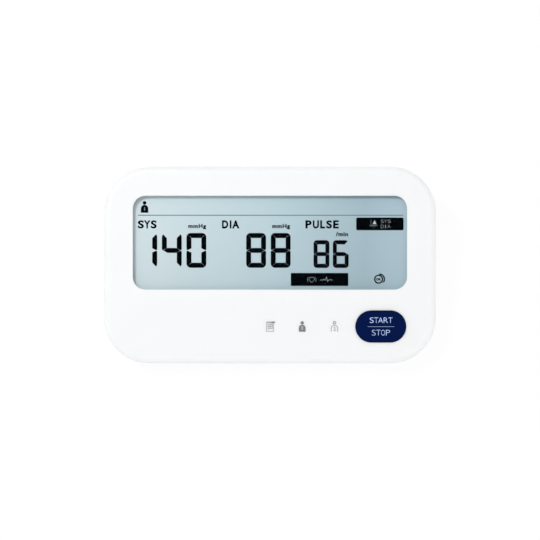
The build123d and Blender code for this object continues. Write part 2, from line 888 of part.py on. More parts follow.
with BuildPart() as rubber_feet:
    with BuildSketch(Plane.XY):
        with Locations(*foot_places):
            Circle(foot_radius)
    extrude(amount=foot_proud + foot_recess)
    chamfer(rubber_feet.faces().sort_by(Axis.Z)[:4].edges(), foot_chamfer)

rubber_feet.part.label = "rubber_feet"
export_step(rubber_feet.part, "parts/rubber_feet.step")

with BuildPart() as case_screws:
    for places, meeting in screw_sets:
        seat = meeting - well_shoulder
        with BuildSketch(Plane.XY.offset(seat - screw_head_height)):
            with Locations(*places):
                Circle(screw_head_radius)
        extrude(amount=screw_head_height)
        with BuildSketch(Plane.XY.offset(seat)):
            with Locations(*places):
                Circle(screw_radius)
        extrude(amount=well_shoulder + screw_bite)
        # Cross recess.
        with BuildSketch(Plane.XY.offset(seat - screw_head_height)):
            with Locations(*places):
                Rectangle(recess_width, recess_length)
                Rectangle(recess_length, recess_width)
        extrude(amount=recess_depth, mode=Mode.SUBTRACT)

case_screws.part.label = "case_screws"
export_step(case_screws.part, "parts/case_screws.step")

# ---------------------------------------------------------------------------------------------
# Window and display stack
# ---------------------------------------------------------------------------------------------

with BuildPart() as window_tape:
    with BuildSketch(behind_face(pane_front)):
        with Locations((0, window_v)):
            Rectangle(pane_width - 2 * tape_margin, pane_height - 2 * tape_margin)
            RectangleRounded(
                window_width + 2 * tape_margin,
                window_height + 2 * tape_margin,
                window_corner,
                mode=Mode.SUBTRACT,
            )
    extrude(amount=tape_thick)

window_tape.part.label = "window_tape"
export_step(window_tape.part, "parts/window_tape.step")

with BuildPart() as display_window:
    with BuildSketch(behind_face(pane_back)):
        with Locations((0, window_v)):
            Rectangle(pane_width, pane_height)
    extrude(amount=pane_thick)

display_window.part.label = "display_window"
export_step(display_window.part, "parts/display_window.step")

with BuildPart() as window_seal:
    with BuildSketch(behind_face(film_front)):
        with Locations((0, window_v)):
            Rectangle(window_width + 2 * seal_margin, window_height + 2 * seal_margin)
            RectangleRounded(
                window_width + 2 * seal_inset,
                window_height + 2 * seal_inset,
                window_corner,
                mode=Mode.SUBTRACT,
            )
    extrude(amount=seal_thick)

window_seal.part.label = "window_seal"
export_step(window_seal.part, "parts/window_seal.step")

with BuildPart() as lcd_polariser:
    with BuildSketch(behind_face(glass_front)):
        with Locations((0, window_v)):
            Rectangle(glass_width, glass_height)
    extrude(amount=film_thick)

lcd_polariser.part.label = "lcd_polariser"
export_step(lcd_polariser.part, "parts/lcd_polariser.step")

# Two plates; the front one is taller and its edges carry the contacts.
with BuildPart() as lcd_glass:
    with BuildSketch(behind_face(glass_step)):
        with Locations((0, window_v)):
            Rectangle(glass_width, glass_height)
    extrude(amount=glass_thick)
    with BuildSketch(behind_face(glass_back)):
        with Locations((0, window_v)):
            Rectangle(glass_width, rear_glass_height)
    extrude(amount=glass_thick)

lcd_glass.part.label = "lcd_glass"
export_step(lcd_glass.part, "parts/lcd_glass.step")

with BuildPart() as lcd_reflector:
    with BuildSketch(behind_face(stack_back)):
        with Locations((0, window_v)):
            Rectangle(glass_width, rear_glass_height)
    extrude(amount=film_thick)

lcd_reflector.part.label = "lcd_reflector"
export_step(lcd_reflector.part, "parts/lcd_reflector.step")

with BuildPart() as zebra_strips:
    with BuildSketch(behind_face(board_depth)):
        with Locations(*strip_places):
            Rectangle(strip_length, strip_thick)
    extrude(amount=board_depth - glass_step)

zebra_strips.part.label = "zebra_strips"
export_step(zebra_strips.part, "parts/zebra_strips.step")

with BuildPart() as lcd_holder:
    with BuildSketch(behind_face(board_depth)):
        with Locations((0, window_v)):
            Rectangle(holder_width, holder_height)
    extrude(amount=board_depth - holder_front)
    # Pocket for the glass, then the opening inside the shelf that carries it.
    with BuildSketch(behind_face(stack_back)):
        with Locations((0, window_v)):
            Rectangle(glass_width + 2 * pane_gap, glass_height + 2 * pane_gap)
    extrude(amount=board_depth, mode=Mode.SUBTRACT)
    with BuildSketch(behind_face(board_depth)):
        with Locations((0, window_v)):
            Rectangle(glass_width - 2 * holder_shelf, rear_glass_height - 2 * holder_shelf)
        with Locations(*strip_places):
            Rectangle(strip_length + 2 * pane_gap, strip_thick + 2 * pane_gap)
    extrude(amount=board_depth - stack_back, mode=Mode.SUBTRACT)
    # Hooks that clip over the board's side edges.
    for side in (-1, 1):
        for hook_v in (board_step_v + 2 * hook_width, board_top_v - hook_width):
            with BuildSketch(behind_face(board_back + hook_thick + board_edge_gap)):
                with Locations((side * (holder_width - hook_thick) / 2, hook_v)):
                    Rectangle(hook_thick, hook_width)
            extrude(amount=board_thick + hook_thick + board_edge_gap)
            with BuildSketch(behind_face(board_back + hook_thick + board_edge_gap)):
                with Locations((side * (holder_width - hook_thick - hook_nose) / 2, hook_v)):
                    Rectangle(hook_thick + hook_nose, hook_width)
            extrude(amount=hook_thick)

lcd_holder.part.label = "lcd_holder"
export_step(lcd_holder.part, "parts/lcd_holder.step")

# ---------------------------------------------------------------------------------------------
# Key, switch and touch pads
# ---------------------------------------------------------------------------------------------

with BuildPart() as start_stop_key:
    with BuildSketch(behind_face(-key_proud)):
        with Locations((key_x, key_v)):
            SlotOverall(key_width, key_height)
    extrude(amount=-(flange_back + key_proud))
    key_top = start_stop_key.faces().sort_by(Axis((0, 0, 0), tuple(face_plane.z_dir)))[-1]
    fillet(key_top.edges(), key_round)
    with BuildSketch(behind_face(flange_back)):
        with Locations((key_x, key_v)):
            SlotOverall(key_width + 2 * key_flange, key_height + 2 * key_flange)
    extrude(amount=key_flange_thick)
    # The cap is a shell with a post in its middle and a rib each way.
    with BuildSketch(behind_face(flange_back)):
        with Locations((key_x, key_v)):
            SlotOverall(key_width - 2 * key_shell, key_height - 2 * key_shell)
            Rectangle(key_width, key_rib, mode=Mode.SUBTRACT)
            Rectangle(key_rib, key_height, mode=Mode.SUBTRACT)
            Circle(key_post_radius, mode=Mode.SUBTRACT)
    extrude(amount=flange_back + key_proud - key_shell, mode=Mode.SUBTRACT)
    with BuildSketch(behind_face(plunger_top)):
        with Locations((key_x, key_v)):
            Circle(key_post_radius)
    extrude(amount=plunger_top - flange_back + key_flange_thick)

start_stop_key.part.label = "start_stop_key"
export_step(start_stop_key.part, "parts/start_stop_key.step")

with BuildPart() as switch_plunger:
    with BuildSketch(behind_face(plunger_top)):
        with Locations((key_x, key_v)):
            Circle(plunger_radius)
    extrude(amount=-(plunger_height + plunger_sunk))

switch_plunger.part.label = "switch_plunger"
export_step(switch_plunger.part, "parts/switch_plunger.step")

with BuildPart() as tact_switch:
    with BuildSketch(behind_face(board_depth)):
        with Locations((key_x, key_v)):
            Rectangle(switch_size, switch_size)
    extrude(amount=switch_body)
    with BuildSketch(behind_face(switch_front)):
        with Locations((key_x, key_v)):
            Circle(plunger_radius + plunger_gap)
    extrude(amount=-(plunger_sunk + key_travel + hole_gap), mode=Mode.SUBTRACT)

tact_switch.part.label = "tact_switch"
export_step(tact_switch.part, "parts/tact_switch.step")

with BuildPart() as touch_pads:
    with BuildSketch(behind_face(board_depth)):
        with Locations(*touch_places):
            Circle(touch_radius)
    extrude(amount=board_depth - cover_wall)

touch_pads.part.label = "touch_pads"
export_step(touch_pads.part, "parts/touch_pads.step")

# ---------------------------------------------------------------------------------------------
# Circuit board and what is soldered to it
# ---------------------------------------------------------------------------------------------

with BuildPart() as main_board:
    with BuildSketch(behind_face(board_back)):
        with Locations((0, (board_step_v + board_top_v) / 2)):
            Rectangle(board_wide, board_top_v - board_step_v)
        with Locations((0, (board_low_v + board_step_v + board_lap) / 2)):
            Rectangle(board_narrow, board_step_v + board_lap - board_low_v)
        for side in (-1, 1):
            with Locations((side * board_tab_x, (board_top_v + board_tab_v) / 2)):
                Rectangle(board_tab_width, board_tab_v - board_top_v + 2 * board_boss_radius)
        with Locations(*board_screws):
            Circle(board_screw_radius + board_screw_gap, mode=Mode.SUBTRACT)
    extrude(amount=board_thick)

main_board.part.label = "main_board"
export_step(main_board.part, "parts/main_board.step")

with BuildPart() as board_screw_set:
    with BuildSketch(behind_face(board_back + board_screw_head_height)):
        with Locations(*board_screws):
            Circle(board_screw_head_radius)
    extrude(amount=board_screw_head_height)
    with BuildSketch(behind_face(board_back)):
        with Locations(*board_screws):
            Circle(board_screw_radius)
    extrude(amount=board_thick + board_screw_bite)

board_screw_set.part.label = "board_screws"
export_step(board_screw_set.part, "parts/board_screws.step")

with BuildPart() as microcontroller:
    with BuildSketch(behind_face(board_back + chip_thick)):
        with Locations(chip_place):
            Rectangle(chip_size, chip_size)
    extrude(amount=chip_thick)

microcontroller.part.label = "microcontroller"
export_step(microcontroller.part, "parts/microcontroller.step")

with BuildPart() as memory_chip:
    with BuildSketch(behind_face(board_back + chip_thick)):
        with Locations(memory_place):
            Rectangle(memory_width, memory_height)
    extrude(amount=chip_thick)

memory_chip.part.label = "memory_chip"
export_step(memory_chip.part, "parts/memory_chip.step")

with BuildPart() as pressure_sensor:
    with BuildSketch(behind_face(sensor_back)):
        with Locations((manifold_x, sensor_v)):
            Rectangle(sensor_size, sensor_size)
    extrude(amount=sensor_height)
    with BuildSketch(behind_face(sensor_back)):
        with Locations((manifold_x, sensor_v)):
            Circle(nipple_radius)
    extrude(amount=-sensor_nipple)
    with BuildSketch(behind_face(sensor_back + nipple_length)):
        with Locations((manifold_x, sensor_v)):
            Circle(passage_radius)
    extrude(amount=nipple_length + sensor_height / 2, mode=Mode.SUBTRACT)

pressure_sensor.part.label = "pressure_sensor"
export_step(pressure_sensor.part, "parts/pressure_sensor.step")

with BuildPart() as buzzer:
    with BuildSketch(behind_face(board_back + buzzer_height)):
        with Locations(buzzer_place):
            Circle(buzzer_radius)
    extrude(amount=buzzer_height)
    with BuildSketch(behind_face(board_back + buzzer_height)):
        with Locations(buzzer_place):
            Circle(buzzer_hole_radius)
    extrude(amount=buzzer_hole_depth, mode=Mode.SUBTRACT)

buzzer.part.label = "buzzer"
export_step(buzzer.part, "parts/buzzer.step")

with BuildPart() as capacitors:
    with BuildSketch(behind_face(board_back + capacitor_height)):
        with Locations(*capacitor_places):
            Circle(capacitor_radius)
    extrude(amount=capacitor_height)

capacitors.part.label = "capacitors"
export_step(capacitors.part, "parts/capacitors.step")

header_places = (pump_header, valve_header, battery_header, dc_header)
with BuildPart() as board_headers:
    with BuildSketch(behind_face(board_back + header_height)):
        with Locations(*header_places):
            Rectangle(header_width, header_depth)
    extrude(amount=header_height)

board_headers.part.label = "board_headers"
export_step(board_headers.part, "parts/board_headers.step")

# ---------------------------------------------------------------------------------------------
# Cells and their contacts
# ---------------------------------------------------------------------------------------------

# Every second cell is turned round. Its nub touches a plate, its flat end a bowed spring.
cell_turned = [number % 2 == 1 for number in range(cell_count)]
front_face = bay_front + contact_thick
rear_face = bay_rear - contact_thick

for number, cell_x in enumerate(cell_places):
    if cell_turned[number]:
        nub_end = rear_face - contact_play
        inward = -1
    else:
        nub_end = front_face + contact_play
        inward = 1
    can_end = nub_end + inward * cell_nub
    with BuildPart() as battery_cell:
        with BuildSketch(upright(can_end)):
            with Locations((cell_x, cell_z)):
                Circle(cell_radius)
        extrude(amount=-inward * (cell_length - cell_nub))
        fillet(battery_cell.edges().filter_by(GeomType.CIRCLE), cell_round)
        with BuildSketch(upright(nub_end)):
            with Locations((cell_x, cell_z)):
                Circle(cell_nub_radius)
        extrude(amount=-inward * (cell_nub + cell_round))
    battery_cell.part.label = f"battery_cell_{number + 1}"
    export_step(battery_cell.part, f"parts/battery_cell_{number + 1}.step")

# One pad for each cell end. Strips join two pairs in front and one pair at the rear, and the
# two single pads at the rear have solder tabs.
contact_z = (contact_low + contact_high) / 2
contact_height = contact_high - contact_low
strip_top = cell_z + cell_ridge - contact_play
with BuildPart() as contact_plates:
    with BuildSketch(upright(bay_front)):
        with Locations(*[(x, contact_z) for x in cell_places]):
            Rectangle(contact_width, contact_height)
        with Locations(*[(x, (contact_low + strip_top) / 2) for x in (-cell_pitch, cell_pitch)]):
            Rectangle(cell_pitch, strip_top - contact_low)
    extrude(amount=-contact_thick)
    with BuildSketch(upright(rear_face)):
        with Locations(*[(x, contact_z) for x in cell_places]):
            Rectangle(contact_width, contact_height)
        with Locations((0, (contact_low + strip_top) / 2)):
            Rectangle(cell_pitch, strip_top - contact_low)
        with Locations(*[(x, (contact_z + tab_top) / 2) for x in end_cells]):
            Rectangle(tab_width, tab_top - contact_z)
    extrude(amount=-contact_thick)

contact_plates.part.label = "contact_plates"
export_step(contact_plates.part, "parts/contact_plates.step")

with BuildPart() as contact_springs:
    for number, cell_x in enumerate(cell_places):
        if cell_turned[number]:
            foot = front_face
            reach = spring_reach
        else:
            foot = rear_face
            reach = -spring_reach
        lean = contact_thick if reach > 0 else -contact_thick
        low = contact_low + spring_inset
        high = contact_high - spring_inset
        with BuildSketch(Plane.YZ.offset(cell_x - spring_width / 2)):
            with BuildLine():
                ThreePointArc((foot, low), (foot + reach, contact_z), (foot, high))
                Line((foot, high), (foot, high - contact_thick))
                ThreePointArc(
                    (foot, high - contact_thick),
                    (foot + reach - lean, contact_z),
                    (foot, low + contact_thick),
                )
                Line((foot, low + contact_thick), (foot, low))
            make_face()
        extrude(amount=spring_width)

contact_springs.part.label = "contact_springs"
export_step(contact_springs.part, "parts/contact_springs.step")

# ---------------------------------------------------------------------------------------------
# Air pump: motor, rotor with cam, head, diaphragm, cap and damping sleeve
# ---------------------------------------------------------------------------------------------

can_inside = motor_radius - motor_wall
with BuildPart() as pump_motor:
    with BuildSketch(pump_section):
        with BuildLine():
            Polyline(
                (motor_left - motor_bearing, shaft_radius + shaft_gap),
                (motor_left - motor_bearing, motor_bearing_radius),
                (motor_left, motor_bearing_radius),
                (motor_left, motor_radius),
                (motor_right, motor_radius),
                (motor_right, can_inside),
                (motor_left + motor_wall, can_inside),
                (motor_left + motor_wall, shaft_radius + shaft_gap),
                close=True,
            )
        make_face()
    revolve(axis=pump_axis)

pump_motor.part.label = "pump_motor"
export_step(pump_motor.part, "parts/pump_motor.step")

with BuildPart() as motor_end_bell:
    with BuildSketch(Plane.YZ.offset(motor_right)):
        with Locations((pump_y, pump_z)):
            Circle(motor_radius)
            Circle(shaft_radius + shaft_gap, mode=Mode.SUBTRACT)
    extrude(amount=end_bell_thick)
    with BuildSketch(Plane.YZ.offset(pump_right)):
        for side in (-1, 1):
            with Locations((pump_y, pump_z + side * motor_radius / 2)):
                Rectangle(blade_thick, blade_width)
    extrude(amount=terminal_length)

motor_end_bell.part.label = "motor_end_bell"
export_step(motor_end_bell.part, "parts/motor_end_bell.step")

with BuildPart() as motor_magnets:
    with BuildSketch(Plane.YZ.offset(motor_mid - magnet_length / 2)):
        with Locations((pump_y, pump_z)):
            Circle(can_inside - magnet_gap)
            Circle(can_inside - magnet_gap - magnet_thick, mode=Mode.SUBTRACT)
            Rectangle(magnet_split, 2 * motor_radius, mode=Mode.SUBTRACT)
    extrude(amount=magnet_length)

motor_magnets.part.label = "motor_magnets"
export_step(motor_magnets.part, "parts/motor_magnets.step")

cam_right = motor_left - motor_bearing - cam_gap
cam_left = cam_right - cam_thick
with BuildPart() as pump_rotor:
    with BuildSketch(Plane.YZ.offset(cam_left)):
        with Locations((pump_y, pump_z)):
            Circle(shaft_radius)
    extrude(amount=pump_right - cam_left)
    with BuildSketch(Plane.YZ.offset(motor_mid - rotor_length / 2)):
        with Locations((pump_y, pump_z)):
            Circle(rotor_radius)
            with PolarLocations(rotor_radius - rotor_slot_inset, 3):
                Rectangle(rotor_slot_length, rotor_slot, mode=Mode.SUBTRACT)
    extrude(amount=rotor_length)
    with BuildSketch(Plane.YZ.offset(motor_mid + rotor_length / 2)):
        with Locations((pump_y, pump_z)):
            Circle(commutator_radius)
    extrude(amount=commutator_length)

pump_rotor.part.label = "pump_rotor"
export_step(pump_rotor.part, "parts/pump_rotor.step")

with BuildPart() as pump_cam:
    with BuildSketch(Plane.YZ.offset(cam_left)):
        with Locations((pump_y, pump_z - cam_offset)):
            Circle(cam_radius)
        with Locations((pump_y, pump_z)):
            Circle(shaft_radius, mode=Mode.SUBTRACT)
    extrude(amount=cam_thick)

pump_cam.part.label = "pump_cam"
export_step(pump_cam.part, "parts/pump_cam.step")

with BuildPart() as pump_head:
    with BuildSketch(Plane.YZ.offset(head_left)):
        with Locations((pump_y, pump_z)):
            Circle(head_radius)
    extrude(amount=head_length)
    with BuildSketch(Plane.YZ.offset(head_left + head_wall)):
        with Locations((pump_y, pump_z)):
            Circle(head_radius - head_wall)
    extrude(amount=head_length - head_wall, mode=Mode.SUBTRACT)
    chamfer(pump_head.edges().filter_by(GeomType.CIRCLE).sort_by(Axis.X)[0], head_chamfer)

pump_head.part.label = "pump_head"
export_step(pump_head.part, "parts/pump_head.step")

with BuildPart() as pump_diaphragm:
    with BuildSketch(Plane.YZ.offset(diaphragm_left)):
        with Locations((pump_y, pump_z)):
            Circle(cap_radius)
    extrude(amount=diaphragm_thick)

pump_diaphragm.part.label = "pump_diaphragm"
export_step(pump_diaphragm.part, "parts/pump_diaphragm.step")

with BuildPart() as pump_cap:
    with BuildSketch(Plane.YZ.offset(cap_left)):
        with Locations((pump_y, pump_z)):
            Circle(cap_radius)
    extrude(amount=cap_thick)
    fillet(pump_cap.edges().filter_by(GeomType.CIRCLE).sort_by(Axis.X)[0], cap_round)
    with BuildSketch(Plane.YZ.offset(cap_left + cap_round)):
        with Locations((pump_y, pump_z + nipple_rise)):
            Circle(nipple_radius)
    extrude(amount=-(nipple_length + cap_round))
    with BuildSketch(Plane.YZ.offset(cap_left - nipple_length)):
        with Locations((pump_y, pump_z + nipple_rise)):
            Circle(passage_radius)
    extrude(amount=nipple_length + cap_thick, mode=Mode.SUBTRACT)

pump_cap.part.label = "pump_cap"
export_step(pump_cap.part, "parts/pump_cap.step")

with BuildPart() as pump_sleeve:
    with BuildSketch(Plane.YZ.offset(motor_mid - sleeve_length / 2)):
        with Locations((pump_y, pump_z)):
            Circle(motor_radius + sleeve_thick)
            Circle(motor_radius, mode=Mode.SUBTRACT)
    extrude(amount=sleeve_length)

pump_sleeve.part.label = "pump_sleeve"
export_step(pump_sleeve.part, "parts/pump_sleeve.step")

# ---------------------------------------------------------------------------------------------
# Exhaust valve: steel frame, coil, sliding plunger and nozzle
# ---------------------------------------------------------------------------------------------

with BuildPart() as valve_frame:
    with BuildSketch(upright(valve_y - valve_size / 2)):
        with Locations((valve_mid, air_z)):
            Rectangle(valve_length, valve_size)
        with Locations((valve_mid, air_z + valve_plate)):
            Rectangle(valve_length - 2 * valve_plate, valve_size, mode=Mode.SUBTRACT)
    extrude(amount=-valve_size)
    with BuildSketch(Plane.YZ.offset(valve_left)):
        with Locations((valve_y, air_z)):
            Circle(valve_bore)
    extrude(amount=valve_length, mode=Mode.SUBTRACT)

valve_frame.part.label = "valve_frame"
export_step(valve_frame.part, "parts/valve_frame.step")

coil_radius = valve_size / 2 - valve_plate
coil_left = valve_left + valve_plate
coil_right = valve_right - valve_plate
with BuildPart() as valve_coil:
    with BuildSketch(valve_section):
        with BuildLine():
            Polyline(
                (coil_left, valve_bore),
                (coil_left, coil_radius),
                (coil_left + coil_flange, coil_radius),
                (coil_left + coil_flange, coil_radius - coil_sink),
                (coil_right - coil_flange, coil_radius - coil_sink),
                (coil_right - coil_flange, coil_radius),
                (coil_right, coil_radius),
                (coil_right, valve_bore),
                close=True,
            )
        make_face()
    revolve(axis=valve_axis)

valve_coil.part.label = "valve_coil"
export_step(valve_coil.part, "parts/valve_coil.step")

seat_x = valve_right + nozzle_chamber
plunger_right = seat_x - valve_seat_gap - valve_travel
with BuildPart() as valve_plunger:
    with BuildSketch(Plane.YZ.offset(valve_left - valve_plunger_tail)):
        with Locations((valve_y, air_z)):
            Circle(valve_plunger_radius)
    extrude(amount=plunger_right - valve_left + valve_plunger_tail)
    plunger_tip = valve_plunger.edges().filter_by(GeomType.CIRCLE).sort_by(Axis.X)[-1]
    chamfer(plunger_tip, valve_plunger_chamfer)

valve_plunger.part.label = "valve_plunger"
export_step(valve_plunger.part, "parts/valve_plunger.step")

with BuildPart() as valve_nozzle:
    with BuildSketch(valve_section):
        with BuildLine():
            Polyline(
                (valve_right, valve_bore),
                (valve_right, nozzle_radius),
                (nozzle_right, nozzle_radius),
                (nozzle_right, nipple_radius),
                (nozzle_right + nipple_length, nipple_radius),
                (nozzle_right + nipple_length, passage_radius),
                (seat_x, passage_radius),
                (seat_x, valve_bore),
                close=True,
            )
        make_face()
    revolve(axis=valve_axis)

valve_nozzle.part.label = "valve_nozzle"
export_step(valve_nozzle.part, "parts/valve_nozzle.step")

# ---------------------------------------------------------------------------------------------
# Air jack, manifold and tubes
# ---------------------------------------------------------------------------------------------

with BuildPart() as air_jack:
    with BuildSketch(jack_section):
        with BuildLine():
            Polyline(
                (0, jack_bore_radius),
                (0, jack_radius),
                (jack_flange_place, jack_radius),
                (jack_flange_place, jack_flange_radius),
                (jack_flange_place + jack_flange_thick, jack_flange_radius),
                (jack_flange_place + jack_flange_thick, jack_radius),
                (jack_body - jack_taper, jack_radius),
                (jack_body, jack_radius - jack_taper),
                (jack_body, nipple_radius),
                (jack_body + nipple_length, nipple_radius),
                (jack_body + nipple_length, passage_radius),
                (jack_bore_depth, passage_radius),
                (jack_bore_depth, jack_bore_radius),
                close=True,
            )
        make_face()
    revolve(axis=jack_axis)

air_jack.part.label = "air_jack"
export_step(air_jack.part, "parts/air_jack.step")

# Nipples face the jack and the valve (left), the sensor (up) and the pump (rear).
left_ports = (valve_y, jack_y)
with BuildPart() as air_manifold:
    with BuildSketch(upright(manifold_front)):
        with Locations((manifold_x, air_z)):
            Circle(manifold_radius)
    extrude(amount=-manifold_length)
    with BuildSketch(Plane.YZ.offset(manifold_x)):
        with Locations(*[(y, air_z) for y in left_ports]):
            Circle(nipple_radius)
    extrude(amount=-(manifold_radius + nipple_length))
    with BuildSketch(Plane.XY.offset(air_z)):
        with Locations((manifold_x, sensor_port_y)):
            Circle(nipple_radius)
    extrude(amount=manifold_radius + short_nipple)
    with BuildSketch(upright(manifold_rear)):
        with Locations((manifold_x, air_z)):
            Circle(nipple_radius)
    extrude(amount=-nipple_length)
    # Air passages.
    with BuildSketch(upright(manifold_front + manifold_end_wall)):
        with Locations((manifold_x, air_z)):
            Circle(passage_radius)
    extrude(amount=-(manifold_length + nipple_length), mode=Mode.SUBTRACT)
    with BuildSketch(Plane.YZ.offset(manifold_x)):
        with Locations(*[(y, air_z) for y in left_ports]):
            Circle(passage_radius)
    extrude(amount=-(manifold_radius + nipple_length), mode=Mode.SUBTRACT)
    with BuildSketch(Plane.XY.offset(air_z)):
        with Locations((manifold_x, sensor_port_y)):
            Circle(passage_radius)
    extrude(amount=manifold_radius + nipple_length, mode=Mode.SUBTRACT)

air_manifold.part.label = "air_manifold"
export_step(air_manifold.part, "parts/air_manifold.step")

# Straight tubes from the jack and from the valve to the manifold.
port_x = manifold_x - manifold_radius
straight_tubes = (("jack_tube", jack_y, jack_back), ("valve_tube", valve_y, nozzle_right))
for tube_name, tube_y, tube_left in straight_tubes:
    with BuildPart() as straight_tube:
        with BuildSketch(Plane.YZ.offset(tube_left + tube_gap)):
            with Locations((tube_y, air_z)):
                Circle(tube_radius)
                Circle(tube_bore, mode=Mode.SUBTRACT)
        extrude(amount=port_x - tube_left - 2 * tube_gap)
    straight_tube.part.label = tube_name
    export_step(straight_tube.part, f"parts/{tube_name}.step")

# The sensor's tube leaves it square to the board and turns upright to the manifold.
with BuildPart() as sensor_tube:
    with BuildLine() as sensor_route:
        FilletPolyline(
            face_point(manifold_x, sensor_v, sensor_back + tube_gap),
            (manifold_x, sensor_port_y, sensor_knee_z),
            (manifold_x, sensor_port_y, air_z + manifold_radius + tube_gap),
            radius=tube_bend,
        )
    with BuildSketch(Plane(origin=sensor_route.line @ 0, z_dir=sensor_route.line % 0)):
        Circle(tube_radius)
        Circle(tube_bore, mode=Mode.SUBTRACT)
    sweep(path=sensor_route.line)

sensor_tube.part.label = "sensor_tube"
export_step(sensor_tube.part, "parts/sensor_tube.step")

# The pump's tube climbs out of the manifold's rear end and crosses over the battery bay.
pump_tube_points = [
    (manifold_x, manifold_rear + tube_gap, air_z),
    (manifold_x, manifold_rear + pump_tube_rear, air_z),
    (manifold_x + pump_tube_side, manifold_rear + pump_tube_turn, bay_roof + pump_tube_rise),
    (manifold_x + pump_tube_cross, pump_y + pump_tube_back, bay_roof + pump_tube_crossing),
    (cap_left - pump_tube_straight, pump_y, pump_z + nipple_rise),
    (cap_left - tube_gap, pump_y, pump_z + nipple_rise),
]
with BuildPart() as pump_tube:
    with BuildLine() as pump_route:
        FilletPolyline(*pump_tube_points, radius=pump_tube_bend)
    with BuildSketch(Plane(origin=pump_route.line @ 0, z_dir=pump_route.line % 0)):
        Circle(tube_radius)
        Circle(tube_bore, mode=Mode.SUBTRACT)
    sweep(path=pump_route.line)

pump_tube.part.label = "pump_tube"
export_step(pump_tube.part, "parts/pump_tube.step")

# ---------------------------------------------------------------------------------------------
# DC jack
# ---------------------------------------------------------------------------------------------

with BuildPart() as dc_jack:
    with BuildSketch(Plane.YZ.offset(dc_back)):
        with Locations((dc_y, dc_z)):
            Rectangle(dc_body_width, dc_body_height)
    extrude(amount=dc_body_length)
    with BuildSketch(Plane.YZ.offset(dc_front)):
        with Locations((dc_y, dc_z)):
            Circle(dc_nose_radius)
    extrude(amount=dc_nose_length)
    with BuildSketch(Plane.YZ.offset(dc_mouth)):
        with Locations((dc_y, dc_z)):
            Circle(dc_bore_radius)
    extrude(amount=-dc_bore_depth, mode=Mode.SUBTRACT)
    with BuildSketch(Plane.YZ.offset(dc_mouth)):
        with Locations((dc_y, dc_z)):
            Circle(dc_pin_root_radius + dc_pin_gap)
    extrude(amount=-(dc_bore_depth + dc_pin_root), mode=Mode.SUBTRACT)
    with BuildSketch(Plane.YZ.offset(dc_back)):
        for side in (-1, 1):
            with Locations((dc_y, dc_z + side * lead_pitch)):
                Rectangle(blade_width, blade_thick)
    extrude(amount=-terminal_length)

dc_jack.part.label = "dc_jack"
export_step(dc_jack.part, "parts/dc_jack.step")

with BuildPart() as dc_jack_pin:
    with BuildSketch(Plane.YZ.offset(dc_mouth - dc_bore_depth - dc_pin_root)):
        with Locations((dc_y, dc_z)):
            Circle(dc_pin_root_radius)
    extrude(amount=dc_pin_root)
    with BuildSketch(Plane.YZ.offset(dc_mouth - dc_bore_depth)):
        with Locations((dc_y, dc_z)):
            Circle(dc_pin_radius)
    extrude(amount=dc_pin_length)
    pin_tip = dc_jack_pin.edges().filter_by(GeomType.CIRCLE).sort_by(Axis.X)[-1]
    chamfer(pin_tip, dc_pin_chamfer)

dc_jack_pin.part.label = "dc_jack_pin"
export_step(dc_jack_pin.part, "parts/dc_jack_pin.step")

# ---------------------------------------------------------------------------------------------
# Wire leads: two wires each, from a component's terminals to its header on the board
# ---------------------------------------------------------------------------------------------


def header_point(place, side, length):
    """A point on a wire that leaves a header square to the board, this far from it."""
    depth = board_back + header_height + length
    return face_point(place[0] + side * lead_pitch / 2, place[1], depth)


def pump_wire(side):
    shift = side * lead_pitch / 2
    terminal_x = pump_right + terminal_length / 2
    return [
        (terminal_x, pump_y - blade_thick, pump_z + side * motor_radius / 2),
        (terminal_x, pump_y - motor_radius, pump_z + side * pump_lead_spread),
        (
            pump_header[0] + pump_lead_side + shift,
            dc_y + pump_lead_front,
            pump_z + pump_lead_rise + shift,
        ),
        header_point(pump_header, side, lead_straight),
        header_point(pump_header, side, lead_gap),
    ]


def valve_wire(side):
    shift = side * lead_pitch / 2
    coil_x = valve_mid - valve_lead_shift + shift
    coil_top = air_z + coil_radius
    return [
        (coil_x, valve_y, coil_top + lead_gap),
        (coil_x, valve_y, coil_top + lead_straight),
        (valve_header[0] + shift, valve_y - valve_lead_front, coil_top + valve_lead_rise),
        header_point(valve_header, side, lead_straight),
        header_point(valve_header, side, lead_gap),
    ]


def battery_wire(side):
    tab_x = side * cell_places[-1]
    tab_y = rear_face - lead_radius - lead_gap
    return [
        (tab_x, tab_y, tab_top - battery_lead_drop),
        (tab_x, tab_y, bay_roof + battery_lead_rise),
        (side * battery_lead_side, pump_y + battery_lead_rear, bay_roof + battery_lead_top),
        header_point(battery_header, side, battery_lead_straight),
        header_point(battery_header, side, lead_gap),
    ]


def dc_wire(side):
    shift = side * lead_pitch / 2
    blade_z = dc_z + side * lead_pitch
    return [
        (dc_back - terminal_length - lead_gap, dc_y, blade_z),
        (dc_back - terminal_length - dc_lead_straight, dc_y, blade_z),
        (dc_header[0] + dc_lead_side + shift, dc_y - dc_lead_front, dc_z - dc_lead_drop + shift),
        header_point(dc_header, side, lead_straight),
        header_point(dc_header, side, lead_gap),
    ]


lead_routes = {
    "pump_leads": pump_wire,
    "valve_leads": valve_wire,
    "battery_leads": battery_wire,
    "dc_leads": dc_wire,
}

for lead_name, route in lead_routes.items():
    with BuildPart() as leads:
        for side in (-1, 1):
            with BuildLine() as lead_route:
                FilletPolyline(*route(side), radius=lead_bend)
            with BuildSketch(Plane(origin=lead_route.line @ 0, z_dir=lead_route.line % 0)):
                Circle(lead_radius)
            sweep(path=lead_route.line)
    leads.part.label = lead_name
    export_step(leads.part, f"parts/{lead_name}.step")
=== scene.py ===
from math import atan2, cos, degrees, hypot, pi, radians, sin

import bmesh
import bpy
from mathutils import Matrix, Vector


